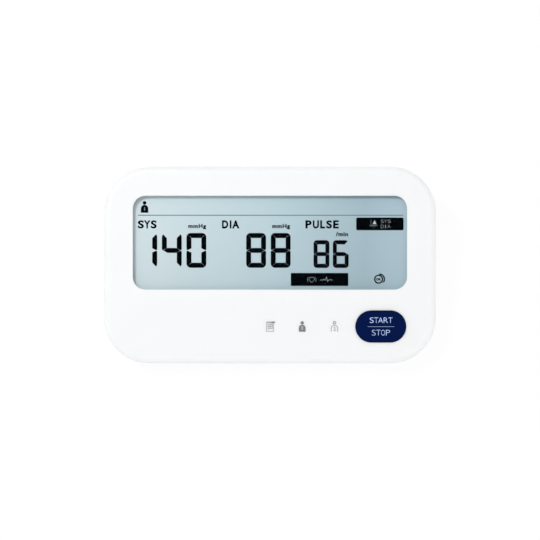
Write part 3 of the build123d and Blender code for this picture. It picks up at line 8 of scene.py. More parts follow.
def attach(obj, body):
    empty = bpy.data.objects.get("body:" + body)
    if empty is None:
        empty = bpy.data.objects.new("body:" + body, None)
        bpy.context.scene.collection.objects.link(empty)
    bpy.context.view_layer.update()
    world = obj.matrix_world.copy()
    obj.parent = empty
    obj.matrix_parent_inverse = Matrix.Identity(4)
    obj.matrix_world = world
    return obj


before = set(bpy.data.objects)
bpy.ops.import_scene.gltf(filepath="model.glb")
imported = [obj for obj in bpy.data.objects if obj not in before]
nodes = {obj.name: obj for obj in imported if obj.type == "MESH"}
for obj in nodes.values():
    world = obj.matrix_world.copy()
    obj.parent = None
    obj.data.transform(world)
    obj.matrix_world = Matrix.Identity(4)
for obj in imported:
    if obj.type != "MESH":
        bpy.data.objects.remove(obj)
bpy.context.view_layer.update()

# ---------------------------------------------------------------------------------------------
# Table, lamps and camera
# The console stands on a white table. One soft lamp hangs up and to the left of the face, and
# even light comes from all round. The camera looks square onto the tilted face.
# ---------------------------------------------------------------------------------------------

MM = 0.001
tilt = radians(20)
face_middle = Vector((0, -2.9877, 41.2468)) * MM
across = Vector((1, 0, 0))
up_slope = Vector((0, cos(tilt), sin(tilt)))
off_face = Vector((0, -sin(tilt), cos(tilt)))


def linear(hex_colour):
    """A colour written as #RRGGBB in sRGB, as Blender's linear values."""
    shares = [int(hex_colour[place:place + 2], 16) / 255 for place in (1, 3, 5)]
    return [s / 12.92 if s <= 0.04045 else ((s + 0.055) / 1.055) ** 2.4 for s in shares] + [1]


def add_node(tree, kind, values={}, feeds={}, **options):
    """Adds a shader node, sets its options and sockets, and links what feeds it."""
    made = tree.nodes.new("ShaderNode" + kind)
    for option, value in options.items():
        setattr(made, option, value)
    for socket, value in values.items():
        made.inputs[socket].default_value = value
    for socket, source in feeds.items():
        tree.links.new(source, made.inputs[socket])
    return made


def largest(tree, *outputs):
    """The largest of these outputs."""
    most = outputs[0]
    for output in outputs[1:]:
        most = add_node(tree, "Math", operation="MAXIMUM", feeds={0: most, 1: output}).outputs[0]
    return most


# The camera, glosses and clear plastic see a white studio. The light from it is softer above,
# and stronger below, where the white table throws it back. Straight below it is softer again,
# because the console shades the table there.
light_above, light_below, light_straight_below = 0.6, 1.06, 0.66
world = bpy.data.worlds.new("white_studio")
bpy.context.scene.world = world
world.use_nodes = True
tree = world.node_tree
tree.nodes.clear()
path = add_node(tree, "LightPath").outputs
seen = largest(tree, path["Is Camera Ray"], path["Is Glossy Ray"], path["Is Transmission Ray"])
upward = add_node(
    tree, "SeparateXYZ", feeds={0: add_node(tree, "TexCoord").outputs["Generated"]}
).outputs["Z"]
horizon = add_node(
    tree, "MapRange",
    {"From Min": -0.05, "From Max": 0.05, "To Min": light_below, "To Max": light_above},
    {"Value": upward},
)
shaded = add_node(
    tree, "MapRange",
    {"From Min": -1.0, "From Max": -0.3, "To Min": light_straight_below, "To Max": light_below},
    {"Value": upward},
)
softer = add_node(
    tree, "Math", operation="MINIMUM", feeds={0: horizon.outputs[0], 1: shaded.outputs[0]}
)
around = add_node(
    tree, "Background", {"Color": linear("#FFFFFF")}, {"Strength": softer.outputs[0]}
)
shown = add_node(tree, "Background", {"Color": linear("#FFFFFF"), "Strength": 1.0})
sky = add_node(tree, "MixShader", feeds={0: seen, 1: around.outputs[0], 2: shown.outputs[0]})
add_node(tree, "OutputWorld", feeds={0: sky.outputs[0]})

table_radius = 3
bpy.ops.object.select_all(action="DESELECT")
bpy.ops.mesh.primitive_circle_add(vertices=96, radius=table_radius, fill_type="NGON")
table = bpy.context.object
table.name = "table_top"

# White laminate, seen as white with a faint shadow. Its underside isn't seen, and the light
# that comes from below passes it.
laminate = bpy.data.materials.new("white_laminate")
laminate.use_nodes = True
tree = laminate.node_tree
tree.nodes.clear()
glow = add_node(tree, "Emission", {"Color": linear("#FFFFFF"), "Strength": 0.93})
shade = add_node(tree, "BsdfDiffuse", {"Color": linear("#4E4E4E")})
top_side = add_node(tree, "AddShader", feeds={0: glow.outputs[0], 1: shade.outputs[0]})
below = add_node(tree, "BsdfTransparent")
path = add_node(tree, "LightPath").outputs
back = add_node(tree, "NewGeometry").outputs["Backfacing"]
passed = largest(tree, back, path["Is Shadow Ray"], path["Is Diffuse Ray"])
both = add_node(tree, "MixShader", feeds={0: passed, 1: top_side.outputs[0], 2: below.outputs[0]})
add_node(tree, "OutputMaterial", feeds={0: both.outputs[0]})
table.data.materials.append(laminate)

# The soft box throws the shadow of the window's edge. The card lights the edges turned away
# from it. Each has the way to it, its size in metres and its power in watts.
lamp_distance = 2.4
for name, way, size, power in (
    ("soft_box", off_face + 0.32 * up_slope - 0.34 * across, 0.45, 25.3),
    ("white_card", 0.3 * off_face - 0.45 * up_slope + 0.85 * across, 1.2, 6.5),
):
    area = bpy.data.lights.new(name, "AREA")
    area.size = size
    area.energy = power
    lamp = bpy.data.objects.new(name, area)
    bpy.context.scene.collection.objects.link(lamp)
    lamp.location = face_middle + way.normalized() * lamp_distance
    lamp.rotation_euler = way.to_track_quat("Z", "Y").to_euler()

# A long lens, 2.5 m away. The frame is 292.6 mm wide at the face, and the middle of the face
# lies 2.7 mm up the slope from the middle of the frame.
frame_width, sensor_width = 292.6, 36
camera_distance = 2500.0
aim_across, aim_up = 0.05, -2.71
lens = bpy.data.cameras.new("camera")
lens.type = "PERSP"
lens.sensor_width = sensor_width
lens.lens = sensor_width * camera_distance / frame_width
lens.clip_end = 20
camera = bpy.data.objects.new("camera", lens)
bpy.context.scene.collection.objects.link(camera)
aim = aim_across * across + aim_up * up_slope
camera.location = face_middle + (aim + off_face * camera_distance) * MM
camera.rotation_euler = (tilt, 0, 0)
bpy.context.scene.camera = camera
bpy.context.scene.view_settings.view_transform = "Standard"

# ---------------------------------------------------------------------------------------------
# Base cover
# An injection moulding of white ABS that carries the cells, the pump, the valve and both jacks.
# The tool's spark-eroded surface leaves a fine satin grain.
# ---------------------------------------------------------------------------------------------


def moulded(name, colour, grain, height, roughness, ior=1.53, gloss=0.5, drift=0.012):
    """Moulded plastic or rubber. grain and height are the size and height of its skin's
    texture in millimetres, and drift is how far the tone wanders over a few centimetres."""
    made = bpy.data.materials.new(name)
    made.use_nodes = True
    tree = made.node_tree
    shader = tree.nodes["Principled BSDF"]
    shader.inputs["IOR"].default_value = ior
    shader.inputs["Specular IOR Level"].default_value = gloss
    place = add_node(tree, "TexCoord").outputs["Object"]
    cloud = add_node(
        tree, "TexNoise", {"Scale": 1 / (40 * MM), "Detail": 2.0}, {"Vector": place}
    )
    full = linear(colour)
    tones = add_node(tree, "ValToRGB", feeds={0: cloud.outputs[0]}).color_ramp
    tones.elements[0].position = 0.3
    tones.elements[0].color = [share * (1 - drift) for share in full[:3]] + [1]
    tones.elements[1].position = 0.7
    tones.elements[1].color = full
    tree.links.new(tree.nodes["Color Ramp"].outputs[0], shader.inputs["Base Color"])
    skin = add_node(
        tree, "TexNoise", {"Scale": 1 / (grain * MM), "Detail": 3.0, "Roughness": 0.6},
        {"Vector": place},
    )
    satin = add_node(
        tree, "MapRange",
        {"From Min": 0.3, "From Max": 0.7, "To Min": roughness - 0.04, "To Max": roughness + 0.04},
        {"Value": skin.outputs[0]},
    )
    tree.links.new(satin.outputs[0], shader.inputs["Roughness"])
    relief = add_node(
        tree, "Bump", {"Strength": 0.6, "Distance": height * MM}, {"Height": skin.outputs[0]}
    )
    tree.links.new(relief.outputs[0], shader.inputs["Normal"])
    return made


def finish(material, slot, *names):
    """Gives these pieces this finish."""
    for name in names:
        nodes[name].data.materials.clear()
        nodes[name].data.materials.append(material)


def let_light_in(material, weight, depth, reach):
    """Lets light into a material: which share of it, how deep in millimetres, and how much of
    that depth its red, green and blue reach."""
    inputs = material.node_tree.nodes["Principled BSDF"].inputs
    inputs["Subsurface Weight"].default_value = weight
    inputs["Subsurface Scale"].default_value = depth * MM
    inputs["Subsurface Radius"].default_value = reach


# White ABS: a cool white, satin, with a grain that only shows where light grazes it.
white_abs = moulded("spark_eroded_white_abs", "#F3F5F6", 0.35, 0.004, 0.42)
let_light_in(white_abs, 0.6, 2.5, (1, 1, 1))
finish(white_abs, "white_plastic", "base_cover")

# ---------------------------------------------------------------------------------------------
# Battery contacts
# Nickel-plated strips of spring steel, pushed into slots at both ends of the bay: flat plates
# for the cells' studs, and bowed springs for their flat ends.
# ---------------------------------------------------------------------------------------------


def metal(name, colour, roughness, grain, drawn=(1, 1, 1), height=0.01):
    """A metal with the fine marks of its making, grain millimetres apart and drawn out along
    the axis whose share is smallest."""
    made = bpy.data.materials.new(name)
    made.use_nodes = True
    tree = made.node_tree
    shader = tree.nodes["Principled BSDF"]
    shader.inputs["Metallic"].default_value = 1.0
    shader.inputs["Base Color"].default_value = linear(colour)
    place = add_node(tree, "TexCoord").outputs["Object"]
    run = add_node(tree, "Mapping", {"Scale": drawn}, {"Vector": place})
    marks = add_node(
        tree, "TexNoise", {"Scale": 1 / (grain * MM), "Detail": 4.0, "Roughness": 0.65},
        {"Vector": run.outputs[0]},
    )
    worn = add_node(
        tree, "MapRange",
        {"From Min": 0.3, "From Max": 0.7, "To Min": roughness - 0.08, "To Max": roughness + 0.1},
        {"Value": marks.outputs[0]},
    )
    tree.links.new(worn.outputs[0], shader.inputs["Roughness"])
    relief = add_node(
        tree, "Bump", {"Strength": 0.35, "Distance": height * MM}, {"Height": marks.outputs[0]}
    )
    tree.links.new(relief.outputs[0], shader.inputs["Normal"])
    return made


# Nickel plate on rolled strip: bright and slightly warm, with rolling marks across the strip.
nickel_strip = metal("nickel_plated_strip", "#CFCCC4", 0.24, 0.5, (0.15, 1, 1))
finish(nickel_strip, "plated_steel", "contact_plates", "contact_springs")

# ---------------------------------------------------------------------------------------------
# Jacks
# The air jack on the left is a moulded acetal socket for the cuff's plug. The DC jack on the
# right is black nylon round a turned brass pin, as small power jacks are.
# ---------------------------------------------------------------------------------------------

# Acetal: a dull waxy grey. Glass-filled nylon: near black and slightly cloudy.
grey_acetal = moulded("moulded_grey_acetal", "#8D9297", 0.4, 0.003, 0.42, ior=1.48, drift=0.04)
finish(grey_acetal, "grey_plastic", "air_jack")
black_nylon = moulded("glass_filled_black_nylon", "#17181A", 0.5, 0.006, 0.5, drift=0.1)
finish(black_nylon, "black_plastic", "dc_jack")
# Turned brass, nickel-free, with fine rings round the pin.
turned_brass = metal("turned_brass", "#D9B66B", 0.22, 0.12, (1, 0.1, 0.1))
finish(turned_brass, "jack_brass", "dc_jack_pin")

# ---------------------------------------------------------------------------------------------
# Air pump
# A small DC motor in a drawn steel can turns a cam that rocks a rubber diaphragm. Head and cap
# are acetal, the end bell nylon, and a rubber sleeve damps the motor in its cradle.
# ---------------------------------------------------------------------------------------------

# Bright zinc on a deep-drawn can: draw lines run along the axis.
zinc_can = metal("zinc_plated_drawn_can", "#C6C9CD", 0.28, 0.25, (0.06, 1, 1))
finish(zinc_can, "plated_steel", "pump_motor")
# Natural nylon: ivory and slightly cloudy.
white_nylon = moulded("natural_nylon", "#D9D4C6", 0.5, 0.003, 0.45, drift=0.03)
finish(black_nylon, "black_plastic", "motor_end_bell")
finish(grey_acetal, "grey_plastic", "pump_head", "pump_cap")
finish(white_nylon, "grey_plastic", "pump_cam")
# Sintered ferrite: dark, dry and granular.
ferrite = moulded("sintered_ferrite", "#3A3A3C", 0.15, 0.01, 0.62, drift=0.12)
finish(ferrite, "black_plastic", "motor_magnets")
# Enamelled copper wire, wound side by side 0.3 mm apart.
enamelled_wire = metal("enamelled_copper_wire", "#B5652F", 0.3, 0.3, (1, 0.08, 0.08), 0.05)
finish(enamelled_wire, "copper_winding", "pump_rotor")
# Silicone rubber: matt, with a faint bloom.
silicone = moulded("moulded_grey_silicone", "#77797C", 0.6, 0.008, 0.68, ior=1.43, drift=0.06)
finish(silicone, "grey_rubber", "pump_diaphragm", "pump_sleeve")

# ---------------------------------------------------------------------------------------------
# Exhaust valve
# A solenoid: a bent steel frame round a copper coil, whose plunger closes an acetal nozzle. A
# spring pushes the plunger back when the current stops.
# ---------------------------------------------------------------------------------------------

# Zinc plate on sheet is a cool grey with a soft sheen. Ground steel is bright, with fine marks.
zinc_plate = metal("zinc_plated_bent_sheet", "#BFC4CA", 0.34, 0.7)
finish(zinc_plate, "plated_steel", "valve_frame")
ground_steel = metal("ground_steel_rod", "#C9C8C5", 0.18, 0.15, (0.1, 1, 1), 0.004)
finish(ground_steel, "plated_steel", "valve_plunger")
finish(enamelled_wire, "copper_winding", "valve_coil")
finish(grey_acetal, "grey_plastic", "valve_nozzle")

# ---------------------------------------------------------------------------------------------
# Air tee, pressure sensor and tubes
# Extruded silicone tubes push onto the moulded tee. The silicone is milky and lets some light
# into its wall.
# ---------------------------------------------------------------------------------------------

milky_silicone = moulded("extruded_milky_silicone", "#D8DAD8", 0.5, 0.003, 0.38, ior=1.43)
let_light_in(milky_silicone, 0.3, 1, (1, 0.2, 0.1))
finish(milky_silicone, "tube_rubber", "jack_tube", "valve_tube", "sensor_tube", "pump_tube")
finish(grey_acetal, "grey_plastic", "air_manifold", "pressure_sensor")

# ---------------------------------------------------------------------------------------------
# Wire leads
# Stranded copper in extruded PVC, soldered at one end and crimped into a header at the other.
# They run in pairs from the board to the pump, the valve, the cells and the DC jack.
# ---------------------------------------------------------------------------------------------

# Extruded PVC: smooth, with a soft gloss. The battery pair is red on the plus side, which is
# the right one, and black on the other.
red_pvc = moulded("extruded_red_pvc", "#A8282B", 0.5, 0.003, 0.36, drift=0.05)
finish(red_pvc, "wire_jacket", "pump_leads", "dc_leads")
white_pvc = moulded("extruded_white_pvc", "#D5D6D2", 0.5, 0.003, 0.36, drift=0.03)
finish(white_pvc, "wire_jacket", "valve_leads")
pair_pvc = moulded("extruded_red_and_black_pvc", "#A8282B", 0.5, 0.003, 0.36, drift=0.05)
tree = pair_pvc.node_tree
sideways = add_node(
    tree, "SeparateXYZ", feeds={0: tree.nodes["Texture Coordinate"].outputs["Object"]}
).outputs["X"]
plus_side = add_node(tree, "Math", {1: 0.0}, {0: sideways}, operation="GREATER_THAN")
two_tone = add_node(
    tree, "Mix", {6: linear("#1C1D1F")},
    {0: plus_side.outputs[0], 7: tree.nodes["Color Ramp"].outputs[0]}, data_type="RGBA",
)
tree.links.new(two_tone.outputs[2], tree.nodes["Principled BSDF"].inputs["Base Color"])
finish(pair_pvc, "wire_jacket", "battery_leads")

# ---------------------------------------------------------------------------------------------
# Circuit board and its components
# Glass-epoxy laminate under a green solder mask, screwed into the front cover. Black epoxy
# packages, an aluminium can capacitor pair, nylon headers and foam pads behind the face.
# ---------------------------------------------------------------------------------------------

# Solder mask: glossy green, lighter where copper tracks run under it. Tracks lie side by side,
# along the board in some patches and up it in others, and some patches have none.
track_pitch, patch_size = 1.3, 15
solder_mask = moulded("green_solder_mask", "#1B5737", 0.9, 0.004, 0.3, drift=0.12)
tree = solder_mask.node_tree
place = tree.nodes["Texture Coordinate"].outputs["Object"]
turned = add_node(tree, "Mapping", {"Rotation": (-tilt, 0, 0)}, {"Vector": place})
patches = add_node(
    tree, "TexVoronoi", {"Scale": 1 / (patch_size * MM)}, {"Vector": turned.outputs[0]},
    distance="CHEBYCHEV", voronoi_dimensions="2D",
)
share = add_node(tree, "SeparateXYZ", feeds={0: patches.outputs["Color"]}).outputs
along, up = [
    add_node(
        tree, "TexWave", {"Scale": pi / (10 * track_pitch * MM)},
        {"Vector": turned.outputs[0]}, bands_direction=way,
    ).outputs["Fac"] for way in "YX"
]
turning = add_node(tree, "Math", {1: 0.5}, {0: share["X"]}, operation="GREATER_THAN")
lines = add_node(tree, "Mix", feeds={0: turning.outputs[0], 2: along, 3: up})
tracks = add_node(
    tree, "MapRange", {"From Min": 0.6, "From Max": 0.7}, {"Value": lines.outputs[0]}
)
wired = add_node(tree, "Math", {1: 0.3}, {0: share["Y"]}, operation="GREATER_THAN")
copper = add_node(
    tree, "Math", operation="MULTIPLY", feeds={0: tracks.outputs[0], 1: wired.outputs[0]}
)
over_copper = add_node(
    tree, "Mix", {7: linear("#2B7346")},
    {0: copper.outputs[0], 6: tree.nodes["Color Ramp"].outputs[0]}, data_type="RGBA",
)
tree.links.new(over_copper.outputs[2], tree.nodes["Principled BSDF"].inputs["Base Color"])
finish(solder_mask, "green_laminate", "main_board")

# Moulded epoxy: near black and dull. Drawn aluminium: bright, with marks down the can.
epoxy = moulded("moulded_black_epoxy", "#141416", 0.25, 0.006, 0.55, drift=0.1)
finish(epoxy, "black_plastic", "microcontroller", "memory_chip", "buzzer")
finish(black_nylon, "black_plastic", "tact_switch")
finish(white_nylon, "black_plastic", "board_headers")
drawn_aluminium = metal("drawn_aluminium_can", "#C9CCD0", 0.3, 0.2, (1, 1, 0.08))
finish(drawn_aluminium, "capacitor_can", "capacitors")
finish(zinc_plate, "plated_steel", "board_screws")
# Open-cell foam: cells of about half a millimetre.
foam = moulded("open_cell_foam", "#3B3E42", 0.5, 0.15, 0.92, gloss=0.2, drift=0.15)
finish(foam, "foam_rubber", "touch_pads")

# ---------------------------------------------------------------------------------------------
# Display
# A reflective liquid crystal glass in a holder, joined to the board by two conductive rubber
# strips. Its front polariser is a bluish grey with a painted reflection of the studio light:
# lighter at the left and the top, darker towards the right and the bottom, and lighter again at
# the right edge as painted light against the shade of the window's recess.
# ---------------------------------------------------------------------------------------------

window_v = 12.1
film_half_width, film_half_height = 74, 25
finish(grey_acetal, "grey_plastic", "lcd_holder")
finish(silicone, "grey_rubber", "zebra_strips")
# Float glass seen edge on: pale green and glossy.
float_glass = moulded("ground_float_glass", "#A9BBB5", 0.3, 0.002, 0.12, ior=1.52, drift=0.03)
finish(float_glass, "display_glass", "lcd_glass")

# Polariser film: stretched plastic with a fine matt skin, which takes the shine off the grey.
polariser = bpy.data.materials.new("stretched_polariser_film")
polariser.use_nodes = True
tree = polariser.node_tree
shader = tree.nodes["Principled BSDF"]
shader.inputs["Specular IOR Level"].default_value = 0.1
place = add_node(tree, "TexCoord").outputs["Object"]
window_middle = face_middle + up_slope * window_v * MM
centred = add_node(tree, "Mapping", {"Location": -window_middle}, {"Vector": place})
level = add_node(tree, "Mapping", {"Rotation": (-tilt, 0, 0)}, {"Vector": centred.outputs[0]})
spot = add_node(tree, "SeparateXYZ", feeds={0: level.outputs[0]})
sideways = add_node(
    tree, "MapRange", {"From Min": -film_half_width * MM, "From Max": film_half_width * MM},
    {"Value": spot.outputs["X"]},
)
# Painted reflection: the grey is lightest at the left and darker towards the right. The last stop
# lifts it again at the right edge, as painted light against the recess's shade.
tones = add_node(tree, "ValToRGB", feeds={0: sideways.outputs[0]}).color_ramp
tones.elements[0].color = linear("#CEDADE")
tones.elements[1].color = linear("#AFC3CD")
tones.elements.new(0.5).color = linear("#B8CBD2")
tones.elements.new(0.85).color = linear("#A1B5BF")
# Painted reflection: the grey is scaled up towards the top of the film and down towards the
# bottom.
painted_reflection_fall = add_node(
    tree, "MapRange",
    {"From Min": -film_half_height * MM, "From Max": film_half_height * MM,
     "To Min": 0.98, "To Max": 1.05},
    {"Value": spot.outputs["Y"]},
)
painted_reflection_tone = add_node(
    tree, "VectorMath", operation="SCALE",
    feeds={0: tree.nodes["Color Ramp"].outputs[0], "Scale": painted_reflection_fall.outputs[0]},
)
tree.links.new(painted_reflection_tone.outputs[0], shader.inputs["Base Color"])
haze = add_node(tree, "TexNoise", {"Scale": 1 / (0.3 * MM), "Detail": 2.0}, {"Vector": place})
matt = add_node(
    tree, "MapRange", {"From Min": 0.3, "From Max": 0.7, "To Min": 0.42, "To Max": 0.5},
    {"Value": haze.outputs[0]},
)
tree.links.new(matt.outputs[0], shader.inputs["Roughness"])
finish(polariser, "display_film", "lcd_polariser", "lcd_reflector")

# ---------------------------------------------------------------------------------------------
# Signs on the display
# Crystal areas that turn dark. The digits are seven-segment ones with mitred ends and rounded
# corners; the words and signs round them have shapes of their own.
# ---------------------------------------------------------------------------------------------

# The signs lie on the front polariser, this far under the face. They are drawn with a height
# that keeps one from flickering through the other.
film_depth = 5.0
sign_height, clear_height, middle_height = 0.02, 0.01, 0.005
# Dark crystal is a soft black. What stays clear inside a black bar shows as a pale grey, and
# dimmer where it is thin.
crystal_dark = moulded("dark_liquid_crystal", "#03060A", 0.3, 0.0005, 0.45, gloss=0.0, drift=0.2)
crystal_clear = moulded("clear_liquid_crystal", "#C4C9CC", 0.3, 0.0005, 0.45, gloss=0.1)
crystal_dim = moulded("dim_liquid_crystal", "#949A9F", 0.3, 0.0005, 0.45, gloss=0.1)
crystal_half = moulded("half_dark_crystal", "#6F7F87", 0.3, 0.0005, 0.45, gloss=0.1, drift=0.04)


def deselect():
    """Leaves edit mode, with nothing selected."""
    if bpy.context.object and bpy.context.object.mode == "EDIT":
        bpy.ops.object.mode_set(mode="OBJECT")
    bpy.ops.object.select_all(action="DESELECT")


def plate(width, height, x=0, y=0, turn=0):
    """A flat rectangle, in millimetres and degrees, left in edit mode."""
    deselect()
    bpy.ops.mesh.primitive_plane_add(
        size=MM, location=(x * MM, y * MM, 0), rotation=(0, 0, radians(turn))
    )
    bpy.context.object.scale = (width, height, 1)
    bpy.ops.object.transform_apply(location=True, rotation=True, scale=True)
    bpy.ops.object.mode_set(mode="EDIT")
    return bpy.context.object


def disc(radius, x=0, y=0, sides=40):
    """A flat disc, left in edit mode."""
    deselect()
    bpy.ops.mesh.primitive_circle_add(
        vertices=sides, radius=radius * MM, fill_type="NGON", location=(x * MM, y * MM, 0)
    )
    bpy.ops.object.transform_apply(location=True, rotation=True, scale=True)
    bpy.ops.object.mode_set(mode="EDIT")
    return bpy.context.object


def cut(x, y, out_x, out_y, back=0.0):
    """Cuts off what lies beyond the line through (x, y) that faces (out_x, out_y), and a strip
    of this width more."""
    size = hypot(out_x, out_y)
    bpy.ops.mesh.select_all(action="SELECT")
    bpy.ops.mesh.bisect(
        plane_co=((x - out_x / size * back) * MM, (y - out_y / size * back) * MM, 0),
        plane_no=(out_x / size, out_y / size, 0), clear_outer=True,
    )


def round_corners(radius):
    """Rounds the corners of the flat shape that is in edit mode."""
    bpy.ops.mesh.select_mode(type="VERT")
    bpy.ops.mesh.select_all(action="SELECT")
    bpy.ops.mesh.bevel(offset=radius * MM, segments=6, affect="VERTICES")


def outline(line):
    """Leaves only a line of this width round the flat shape that is in edit mode."""
    bpy.ops.mesh.select_mode(type="FACE")
    bpy.ops.mesh.select_all(action="SELECT")
    bpy.ops.mesh.inset(thickness=line * MM, depth=0)
    bpy.ops.mesh.delete(type="FACE")


def joined(shapes):
    """Makes flat shapes one object, with the way they lie in its mesh."""
    deselect()
    for shape in shapes:
        shape.select_set(True)
    bpy.context.view_layer.objects.active = shapes[0]
    if len(shapes) > 1:
        bpy.ops.object.join()
    bpy.ops.object.transform_apply(location=True, rotation=True, scale=True)
    return bpy.context.object


def on_face(x, v, depth=0.0):
    """The way from a flat drawing to the tilted face: x to the right, v up the slope, and
    depth under the face."""
    place = face_middle + (across * x + up_slope * v - off_face * depth) * MM
    return Matrix.Translation(place) @ Matrix.Rotation(tilt, 4, "X")


def lay(shape, name, place, height, material, body):
    """Gives a flat drawing this height and lays it in its place on a body."""
    deselect()
    shape.name = name
    shape.select_set(True)
    bpy.context.view_layer.objects.active = shape
    solid = shape.modifiers.new("height", "SOLIDIFY")
    solid.thickness = height * MM
    solid.offset = 1
    bpy.ops.object.modifier_apply(modifier=solid.name)
    shape.data.transform(place)
    shape.data.materials.clear()
    shape.data.materials.append(material)
    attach(shape, body)


def crystal(shape, name, x, v, material=crystal_dark, depth=film_depth, height=sign_height):
    """Lays a sign on the display."""
    lay(shape, name, on_face(x, v, depth), height, material, "housing")


def clear_sign(shape, name, x, v, material):
    """Lays a sign that stays clear on a dark one."""
    crystal(shape, name, x, v, material, film_depth - sign_height, clear_height)


digit_width, digit_height = 10.76, 18.87
corner, slit = 2.3, 0.06
# Beside the middle bar, an upright ends in a tip this far inside the digit's edge and off its
# middle line. Its end has this slope, and this much of its outer corner is cut off.
tip_in, tip_up, tip_slope, tip_cut = 0.5, 0.1, 0.48, 0.6
# The middle bar's points lie this far inside the digit's edge, and have this slope.
point_in, point_slope = 0.62, 0.55


def segment(letter, upright, level, middle):
    """One of a digit's seven segments, cut from its rounded outline about its middle, with
    strokes of these widths."""
    w, h = digit_width / 2, digit_height / 2
    if letter == "g":
        bar = plate(digit_width, middle)
        for side in (-1, 1):
            for up in (-1, 1):
                cut(side * (w - point_in), 0, side * point_slope, up)
        return joined([bar])
    bar = plate(digit_width, digit_height)
    round_corners(corner)
    if letter in "ad":
        up = 1 if letter == "a" else -1
        cut(0, up * (h - level), 0, -up)
        for side in (-1, 1):
            cut(side * w, up * h, side * level, -up * upright, slit)
    else:
        side = -1 if letter in "ef" else 1
        up = 1 if letter in "bf" else -1
        cut(side * (w - upright), 0, -side, 0)
        cut(side * w, up * h, -side * level, up * upright, slit)
        cut(side * (w - tip_in), up * tip_up, -side * tip_slope, -up)
        cut(side * w, up * tip_cut, side, -up)
    return joined([bar])


def readout(name, number, places, v, wide=1.0, tall=1.0, strokes=(2.68, 2.72, 2.66)):
    """A number: each digit's segments copied to where it stands."""
    lit = {"0": "abcdef", "1": "bc", "4": "bcfg", "6": "acdefg", "8": "abcdefg"}
    segments = {letter: segment(letter, *strokes) for letter in "abcdefg"}
    copies = []
    for digit, x in zip(number, places):
        for letter in lit[digit]:
            copy = segments[letter].copy()
            copy.data = segments[letter].data.copy()
            copy.data.transform(Matrix.Diagonal((wide, tall, 1, 1)))
            copy.data.transform(Matrix.Translation((x * MM, 0, 0)))
            bpy.context.scene.collection.objects.link(copy)
            copies.append(copy)
    crystal(joined(copies), name, 0, v)
    for shape in segments.values():
        bpy.data.objects.remove(shape)


readout("systolic_digits", "140", (-66.57, -53.26, -39.91), 7.93)
readout("diastolic_digits", "88", (-7.5, 5.85), 7.93)
readout("pulse_digits", "86", (28.0, 38.47), 5.94, 0.799, 0.7965, (2.72, 2.84, 2.76))


def words(text, width, height, bold=0.0, spacing=1.0, tail=0.0):
    """Flat lettering of this width, with capitals this high, its middle at the origin. tail
    is the share of the height that hangs below the line."""
    deselect()
    bpy.ops.object.text_add()
    drawn = bpy.context.object.data
    drawn.body = text
    drawn.offset = bold
    drawn.space_character = spacing
    drawn.resolution_u = 4
    bpy.ops.object.convert(target="MESH")
    made = bpy.context.object
    xs = [vert.co.x for vert in made.data.vertices]
    ys = [vert.co.y for vert in made.data.vertices]
    foot = min(ys) + (max(ys) - min(ys)) * tail
    middle = Vector(((min(xs) + max(xs)) / 2, (foot + max(ys)) / 2, 0))
    made.data.transform(Matrix.Translation(-middle))
    made.data.transform(Matrix.Diagonal(
        (width * MM / (max(xs) - min(xs)), height * MM / (max(ys) - foot), 1, 1)
    ))
    return made


def lettering(text, edges, height, bold=0.0):
    """Flat capitals this high. edges are the left and right edges of each letter in turn."""
    letters = []
    for letter, left, right in zip(text, edges[::2], edges[1::2]):
        made = words(letter, right - left, height, bold)
        made.data.transform(Matrix.Translation(((left + right) / 2 * MM, 0, 0)))
        letters.append(made)
    return joined(letters)


label_v, label_height = 22.05, 4.4
pressure_unit_v = 21.2
crystal(lettering("SYS", (-5.2, -1.9, -1.95, 1.65, 1.8, 5.0), label_height, 0.038),
        "label_systolic", -66.5, label_v)
crystal(lettering("DIA", (-4.7, -1.3, -0.5, 0.4, 0.8, 4.7), label_height, 0.045),
        "label_diastolic", -21.3, label_v)
crystal(lettering("PULSE", (-9.1, -5.8, -5.1, -1.8, -1.1, 1.6, 2.2, 5.3, 5.9, 9.0),
                  label_height, 0.04), "label_pulse", 28.4, label_v)
for name, x in (("unit_systolic", -39.5), ("unit_diastolic", 6.1)):
    crystal(words("mmHg", 9.7, 2.2, 0.05, 1.14, tail=0.25), name, x, pressure_unit_v)
crystal(words("/min", 6.7, 2.4, 0.045, 1.12), "unit_pulse", 39.1, 16.8)
crystal(joined([plate(143.8, 0.5)]), "ruled_line", 0.3, 27.0, crystal_half)


def person(height, width, head):
    """A person's sign: a disc over an arch with a flat foot. Gives both flat shapes."""
    neck, taper, shoulder = 0.12, 0.94, 0.455
    body_height = height - 2 * head - neck
    body = plate(width, body_height, 0, (body_height - height) / 2)
    bpy.ops.mesh.select_mode(type="VERT")
    mesh = bmesh.from_edit_mesh(body.data)
    for vert in mesh.verts:
        vert.select = vert.co.y > (body_height - height) / 2 * MM
    bmesh.update_edit_mesh(body.data)
    bpy.ops.transform.resize(value=(taper, 1, 1))
    bpy.ops.mesh.bevel(offset=width * shoulder * MM, segments=8, affect="VERTICES")
    return body, disc(head, 0, height / 2 - head, 24)


user_sign_x = -68.05
body, head = person(6.35, 4.1, 0.98)
crystal(joined([body, head]), "user_sign", user_sign_x, 31.55)
clear_sign(words("1", 0.5, 1.9), "user_sign_number", user_sign_x, 30.5, crystal_half)

